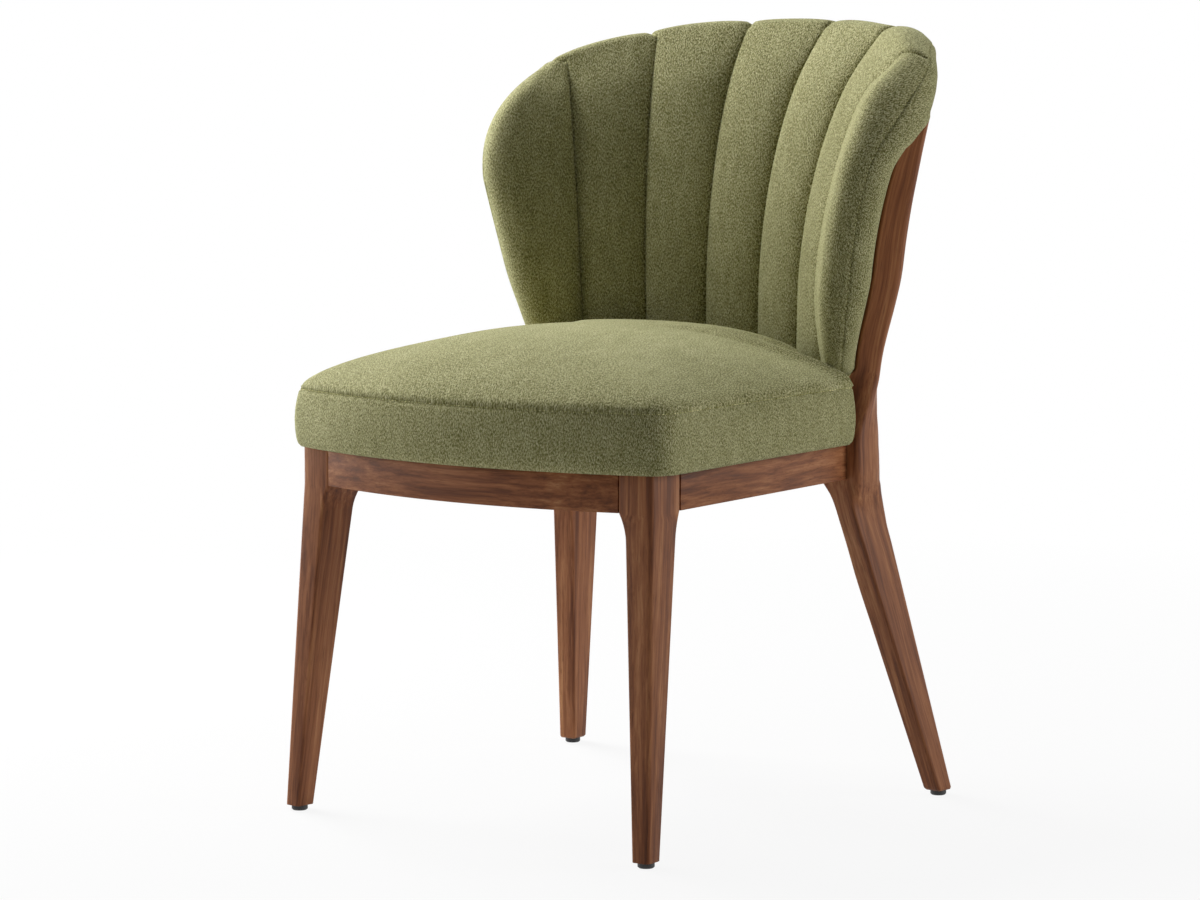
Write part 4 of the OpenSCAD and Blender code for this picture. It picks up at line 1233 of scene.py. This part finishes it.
def seat_outline(over, corner, behind, clear):
    """Points round the seat. over, behind and clear grow it past the rails and round the legs."""
    u = FRONT_JOINT @ ALONG + over
    radius = BOW_R + over
    v = BOW_Y * math.cos(TILT) - math.sqrt((radius - corner) ** 2
                                           - (u - corner - BOW_Y * math.sin(TILT)) ** 2)
    turn_at = (u - corner) * ALONG + v * ACROSS
    a = math.atan2(turn_at[1] - BOW_Y, turn_at[0])
    y_end = REAR_JOINT[1] - clear
    x_end = (u - y_end * math.sin(TILT)) / math.cos(TILT)
    x_in, y_back = NOTCH_X - clear, SEAT_REAR + behind
    half = arc(np.array([0, BOW_Y]), radius, -math.pi / 2, a, 40) + arc(turn_at, corner, a, TILT, 12)
    half += arc(np.array([x_end - NOTCH_R, y_end - NOTCH_R]), NOTCH_R, 0, math.pi / 2, 12)
    half += [np.array([x_in, y_end])]
    half += arc(np.array([x_in - NOTCH_R, y_back - NOTCH_R]), NOTCH_R, 0, math.pi / 2, 10)
    half = np.array(half + [np.array([0, y_back])])
    whole = np.concatenate([half, (half * [-1, 1])[::-1][1:-1]])
    whole[:, 1] -= AHEAD
    closed = np.vstack([whole, whole[:1]])
    at = np.append(0, np.cumsum(np.linalg.norm(np.diff(closed, axis=0), axis=1)))
    s = np.linspace(0, at[-1], STEPS + 1)[:-1]
    return np.stack([np.interp(s, at, closed[:, k]) for k in (0, 1)], 1), s


seat_line, seat_s = seat_outline(over=18.2, corner=30, behind=5, clear=2)
print("seat outline: %.0f mm round" % (seat_s[1] * STEPS))

# %% [markdown]
# A boxed cushion is a top panel sewn to a band. The band bulges at mid height and
# tucks in to the seam, and the top panel rises from the seam to its crown. The
# crown's rings lose the corners of the outline as they climb, as foam does. Under
# the back and beside the legs there is less room, so the cushion gives way there.

# %% Rings of the cushion
SEAM_Z, SEAT_Z, CROWN, TUCK = 428.0, 370.3, 64.0, 6.6
# How far the band stands in from the outline, and at which share of its height
BAND_PROFILE = np.array([[6, 0], [3.2, .05], [1.6, .13], [0.4, .3], [0, .48], [0.9, .68],
                         [2.9, .85], [4.4, .95], [7.2, 1]])
BAND_RINGS = 22

line_len = np.linalg.norm(seat_line, axis=1)
line_az = np.degrees(np.arctan2(seat_line[:, 0], seat_line[:, 1]))
crown_len = np.minimum(line_len, lerp(230.9, 350.9, smooth((np.abs(line_az) - 44) / 15)))
by_leg = np.exp(-((np.abs(line_az) - 46) / 4.5) ** 2)
line_len = line_len - 4.5 * by_leg
tucked = TUCK * (1 - 0.80 * by_leg)
crown_power = lerp(0.25, 0.70, smooth((np.abs(line_az) - 40) / 15))
waves = np.stack([np.cos(k * np.radians(line_az)) for k in range(4)], 1)
round_len = waves @ np.linalg.lstsq(waves, line_len, rcond=None)[0]


def ring(length, z):
    a = np.radians(line_az)
    return np.stack([length * np.sin(a), length * np.cos(a), np.broadcast_to(z, length.shape)], 1)


def crown_ring(t, drop):
    """A ring of the top panel, from 0 at the seam to 1 at the middle."""
    base = crown_len - tucked - drop
    body = lerp(base, np.minimum(round_len - tucked - drop, base * 1.15), smooth(t / 0.6))
    z = SEAM_Z + 2.2 - drop + (CROWN - 2.2) * (1 - (1 - t) ** 2) ** crown_power
    return ring(body * (1 - t), z)


def seat_rings(drop=0.0):
    """All rings from the rail to the crown. drop makes them smaller, for what lies inside."""
    rings = []
    for s in np.linspace(0, 1, BAND_RINGS):
        inset = np.interp(s, BAND_PROFILE[:, 1], BAND_PROFILE[:, 0])
        rings.append(ring(line_len - inset * lerp(1, tucked / TUCK, smooth(s * 2 - 0.9)) - drop,
                          lerp(SEAT_Z + drop, SEAM_Z - drop, s)))
    for inwards, deeper, lift in ((0.25, 1.12, 0.6), (0.7, 1.06, 1.5)):
        rings.append(ring(lerp(line_len, crown_len, inwards) - tucked * deeper - drop,
                          SEAM_Z + lift - drop))
    for t in np.concatenate([np.linspace(0, 0.08, 7), np.linspace(0.10, 0.97, 44)]):
        rings.append(crown_ring(t, drop))
    return rings


print("crown %.0f mm above the floor" % (SEAM_Z + CROWN))

# %% [markdown]
# The cover turns in under the cushion, so three more rings lead inwards from its
# lower edge. The band's cloth runs level round the seat and the top panel's cloth
# lies flat: each takes its own cloth coordinates, and the weave changes direction at
# the seam. Air then lifts the crown between the seam and the back.

# %% Seat cushion
UNDER = (1.0, 0.6, 0.25)
turn_line, _ = seat_outline(over=-3, corner=6, behind=-3, clear=15)
turn_len = np.linalg.norm(turn_line, axis=1)
turned_in = np.column_stack([turn_line * ((turn_len - 26) / turn_len)[:, None], np.full(STEPS, SEAT_Z)])
rings = seat_rings()
rings = [lerp(rings[0], turned_in, inwards) for inwards in UNDER] + rings
points = np.concatenate(rings + [np.array([[0, 0, SEAM_Z + CROWN]])])
last = (len(rings) - 1) * STEPS
faces = tube(len(rings), STEPS) + [(last + c, last + (c + 1) % STEPS, len(points) - 1) for c in range(STEPS)]
seat_cushion = new_piece("seat_cushion", place(points), faces, cloth_finish)

layer = seat_cushion.data.uv_layers.new(name="cloth")
for polygon in seat_cushion.data.polygons:
    r = min(polygon.vertices) // STEPS
    wraps = max(v % STEPS for v in polygon.vertices) > 2
    for corner, index in zip(polygon.loop_indices, polygon.vertices):
        x, y, z = points[index]
        if r < len(UNDER) + BAND_RINGS - 1:
            c = index % STEPS
            s = seat_s[c] + (seat_s[1] * STEPS if c == 0 and wraps else 0)
            layer.data[corner].uv = (s * MM, (z - (line_len[c] - math.hypot(x, y)) * (r < len(UNDER))) * MM)
        else:
            layer.data[corner].uv = (x * MM, y * MM)
outward(seat_cushion)

seat_seam = place(ring(line_len - tucked * 1.04, SEAM_Z + 0.2))
under_back = [place(ring(lerp(line_len, crown_len, t) - tucked, SEAM_Z + 2 * t)) for t in (0.5, 1.0)]
near_seat = near_lines(np.concatenate([seat_seam] + under_back))
blown_up(seat_cushion, lambda co: np.maximum(near_seat(co), smooth((384 - co[:, 2] / MM) / 10)),
         voxel=6.5, cap=4.0)
sewn("seat_seam_stitches", seat_seam, True, thread=0.0014)
walled(seat_cushion, 1.8 * MM)
print("seat cushion:", len(seat_cushion.data.polygons), "faces")

# %% [markdown]
# The foam is cut smaller than its cover by the cloth and the wadding, so it takes
# every second ring of the cushion, moved in. Its underside is slightly hollow.

# %% Foam block under the cover
LESS, HOLLOW = 2.4, 14
foam_rings = [ring(np.full(STEPS, 0.5), SEAT_Z + LESS + HOLLOW), ring(line_len - 36, SEAT_Z + LESS + HOLLOW),
              ring(line_len - 36, SEAT_Z + LESS)] + seat_rings(LESS)[::2]
top_ring = (len(foam_rings) - 1) * STEPS
foam_faces = tube(len(foam_rings), STEPS) + [tuple(range(top_ring, top_ring + STEPS)),
                                             tuple(range(STEPS))[::-1]]
foam_block = new_piece("foam_block", place(np.concatenate(foam_rings)), foam_faces, foam_finish)
outward(foam_block)
print("foam block:", len(foam_block.data.polygons), "faces")

# %% [markdown]
# Each soft piece rides on the chair and stands for its packed solid, which is
# hidden.

# %% Soft pieces on the frame
for piece, stands_for, fill in ((inside_back, "back_pad", 0.85), (outside_back, "outside_back", 0.5),
                                (seat_cushion, "seat_cover", 0.85), (foam_block, "seat_foam", 0.9)):
    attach(piece, "root")
    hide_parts(stands_for)
    print("%s stands for %s" % (piece.name, stands_for))

# %% [markdown]
# A black cloth closes the underside. It is stretched between the rails and still
# sags by two millimetres. A grid is trimmed to the plan of the packed cloth, half of
# which is written here and mirrored.

# %% Dust cloth
HALF_PLAN = [(0, -168), (113, -158), (190, -103), (166.5, 93), (91, 190.5), (0, 190.5)]
SAG, MIDDLE_Y = 0.002, AXIS_Y + 0.01
dust_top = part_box("dust_cloth")[1].z - 0.0002
work = bmesh.new()
bmesh.ops.create_grid(work, x_segments=40, y_segments=40, size=0.21)
for p in work.verts:
    p.co.y += MIDDLE_Y
outline = [Vector((x * MM, AXIS_Y + y * MM, 0)) for x, y in HALF_PLAN]
outline += [Vector((-p.x, p.y, 0)) for p in outline[-2:0:-1]]
for a, b in zip(outline, outline[1:] + outline[:1]):
    bmesh.ops.bisect_plane(work, geom=work.verts[:] + work.edges[:] + work.faces[:], plane_co=a,
                           plane_no=(b - a).cross(Vector((0, 0, 1))).normalized(), clear_outer=True)
for p in work.verts:
    reach = min(1.0, max(abs(p.co.x) / 0.19, abs(p.co.y - MIDDLE_Y) / 0.18))
    p.co.z = dust_top - SAG * (1 - reach ** 2)
dust_sheet = added("dust_sheet", bpy.data.meshes.new("dust_sheet"))
work.to_mesh(dust_sheet.data)
work.free()
shade_smooth(dust_sheet.data)
dust_sheet.data.materials.append(felt)
walled(dust_sheet, 0.8 * MM)
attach(dust_sheet, "root")
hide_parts("dust_cloth")

# %% [markdown]
# A pale floor and a white surround. The floor is mostly white to the camera, as a
# studio's is when it is lit from below, and still takes part of the chair's shadow,
# most of it close to the chair. Mirrors and glass see the same white.

# %% Floor and surround
GLOSSY, TRANSMITTED = 3, 6  # outputs of Light Path, beside the camera's
WHITE = (1, 1, 1, 1)
floor_mesh = bpy.data.meshes.new("floor")
floor_mesh.from_pydata([(-12, -12, 0), (12, -12, 0), (12, 12, 0), (-12, 12, 0)], [], [(0, 1, 2, 3)])
floor = added("floor", floor_mesh)
floor_finish = bpy.data.materials.new("pale_floor")
floor_finish.use_nodes = True
tree = floor_finish.node_tree
tree.nodes.clear()
path = node(tree, "ShaderNodeLightPath")
white = node(tree, "ShaderNodeEmission", {}, {"Color": WHITE, "Strength": 1.0})
matt = node(tree, "ShaderNodeBsdfDiffuse", {}, {"Color": (0.62, 0.62, 0.62, 1)})
spot = node(tree, "ShaderNodeTexCoord", out=OBJECT_SPACE)
far = node(tree, "ShaderNodeVectorMath", dict(operation="LENGTH"), {0: spot}, out=1).fit(0.5, 2.2)
both = node(tree, "ShaderNodeMixShader", {},
            {0: path.larger(path.also(GLOSSY)) * (far * 0.10 + 0.90), 1: matt, 2: white})
node(tree, "ShaderNodeOutputMaterial", {}, {0: both})
floor_mesh.materials.append(floor_finish)

world = bpy.data.worlds.new("studio")
bpy.context.scene.world = world
world.use_nodes = True
tree = world.node_tree
tree.nodes.clear()
path = node(tree, "ShaderNodeLightPath")
shown = path.larger(path.also(GLOSSY)).larger(path.also(TRANSMITTED))
soft, bright = [node(tree, "ShaderNodeBackground", {}, {"Color": WHITE, "Strength": strength})
                for strength in (0.045, 1.0)]
both = node(tree, "ShaderNodeMixShader", {}, {0: shown, 1: soft, 2: bright})
node(tree, "ShaderNodeOutputWorld", {}, {0: both})
print("floor and world:", floor_finish.name, world.name)

# %% [markdown]
# Six soft boxes light the chair. Two on its left, low and high, give most of the
# light, as a tall window does, and the others only fill: ahead on the left, behind
# on the right, high behind and overhead. The camera's own side gets the least,
# which draws the rounded corner of the front leg as a dark line.

# %% Lamps
BOX_SIDE, BOX_AWAY = 1.5, 2.6
for name, azimuth, elevation, power in (
        ("left_window", -95, 12, 50), ("high_left", -95, 45, 77), ("front_left", -50, 12, 17),
        ("right_fill", 120, 12, 28), ("high_back", 180, 45, 7), ("overhead", 0, 82, 6)):
    lamp = added(name, bpy.data.lights.new(name, "AREA"))
    lamp.data.shape = "RECTANGLE"
    lamp.data.size = lamp.data.size_y = BOX_SIDE
    lamp.data.energy = power
    aimed(lamp, Vector((0, AXIS_Y, 0.45)), azimuth, elevation, BOX_AWAY)
    print("%s: %d W" % (name, power))
bpy.context.scene.view_settings.view_transform = "Standard"
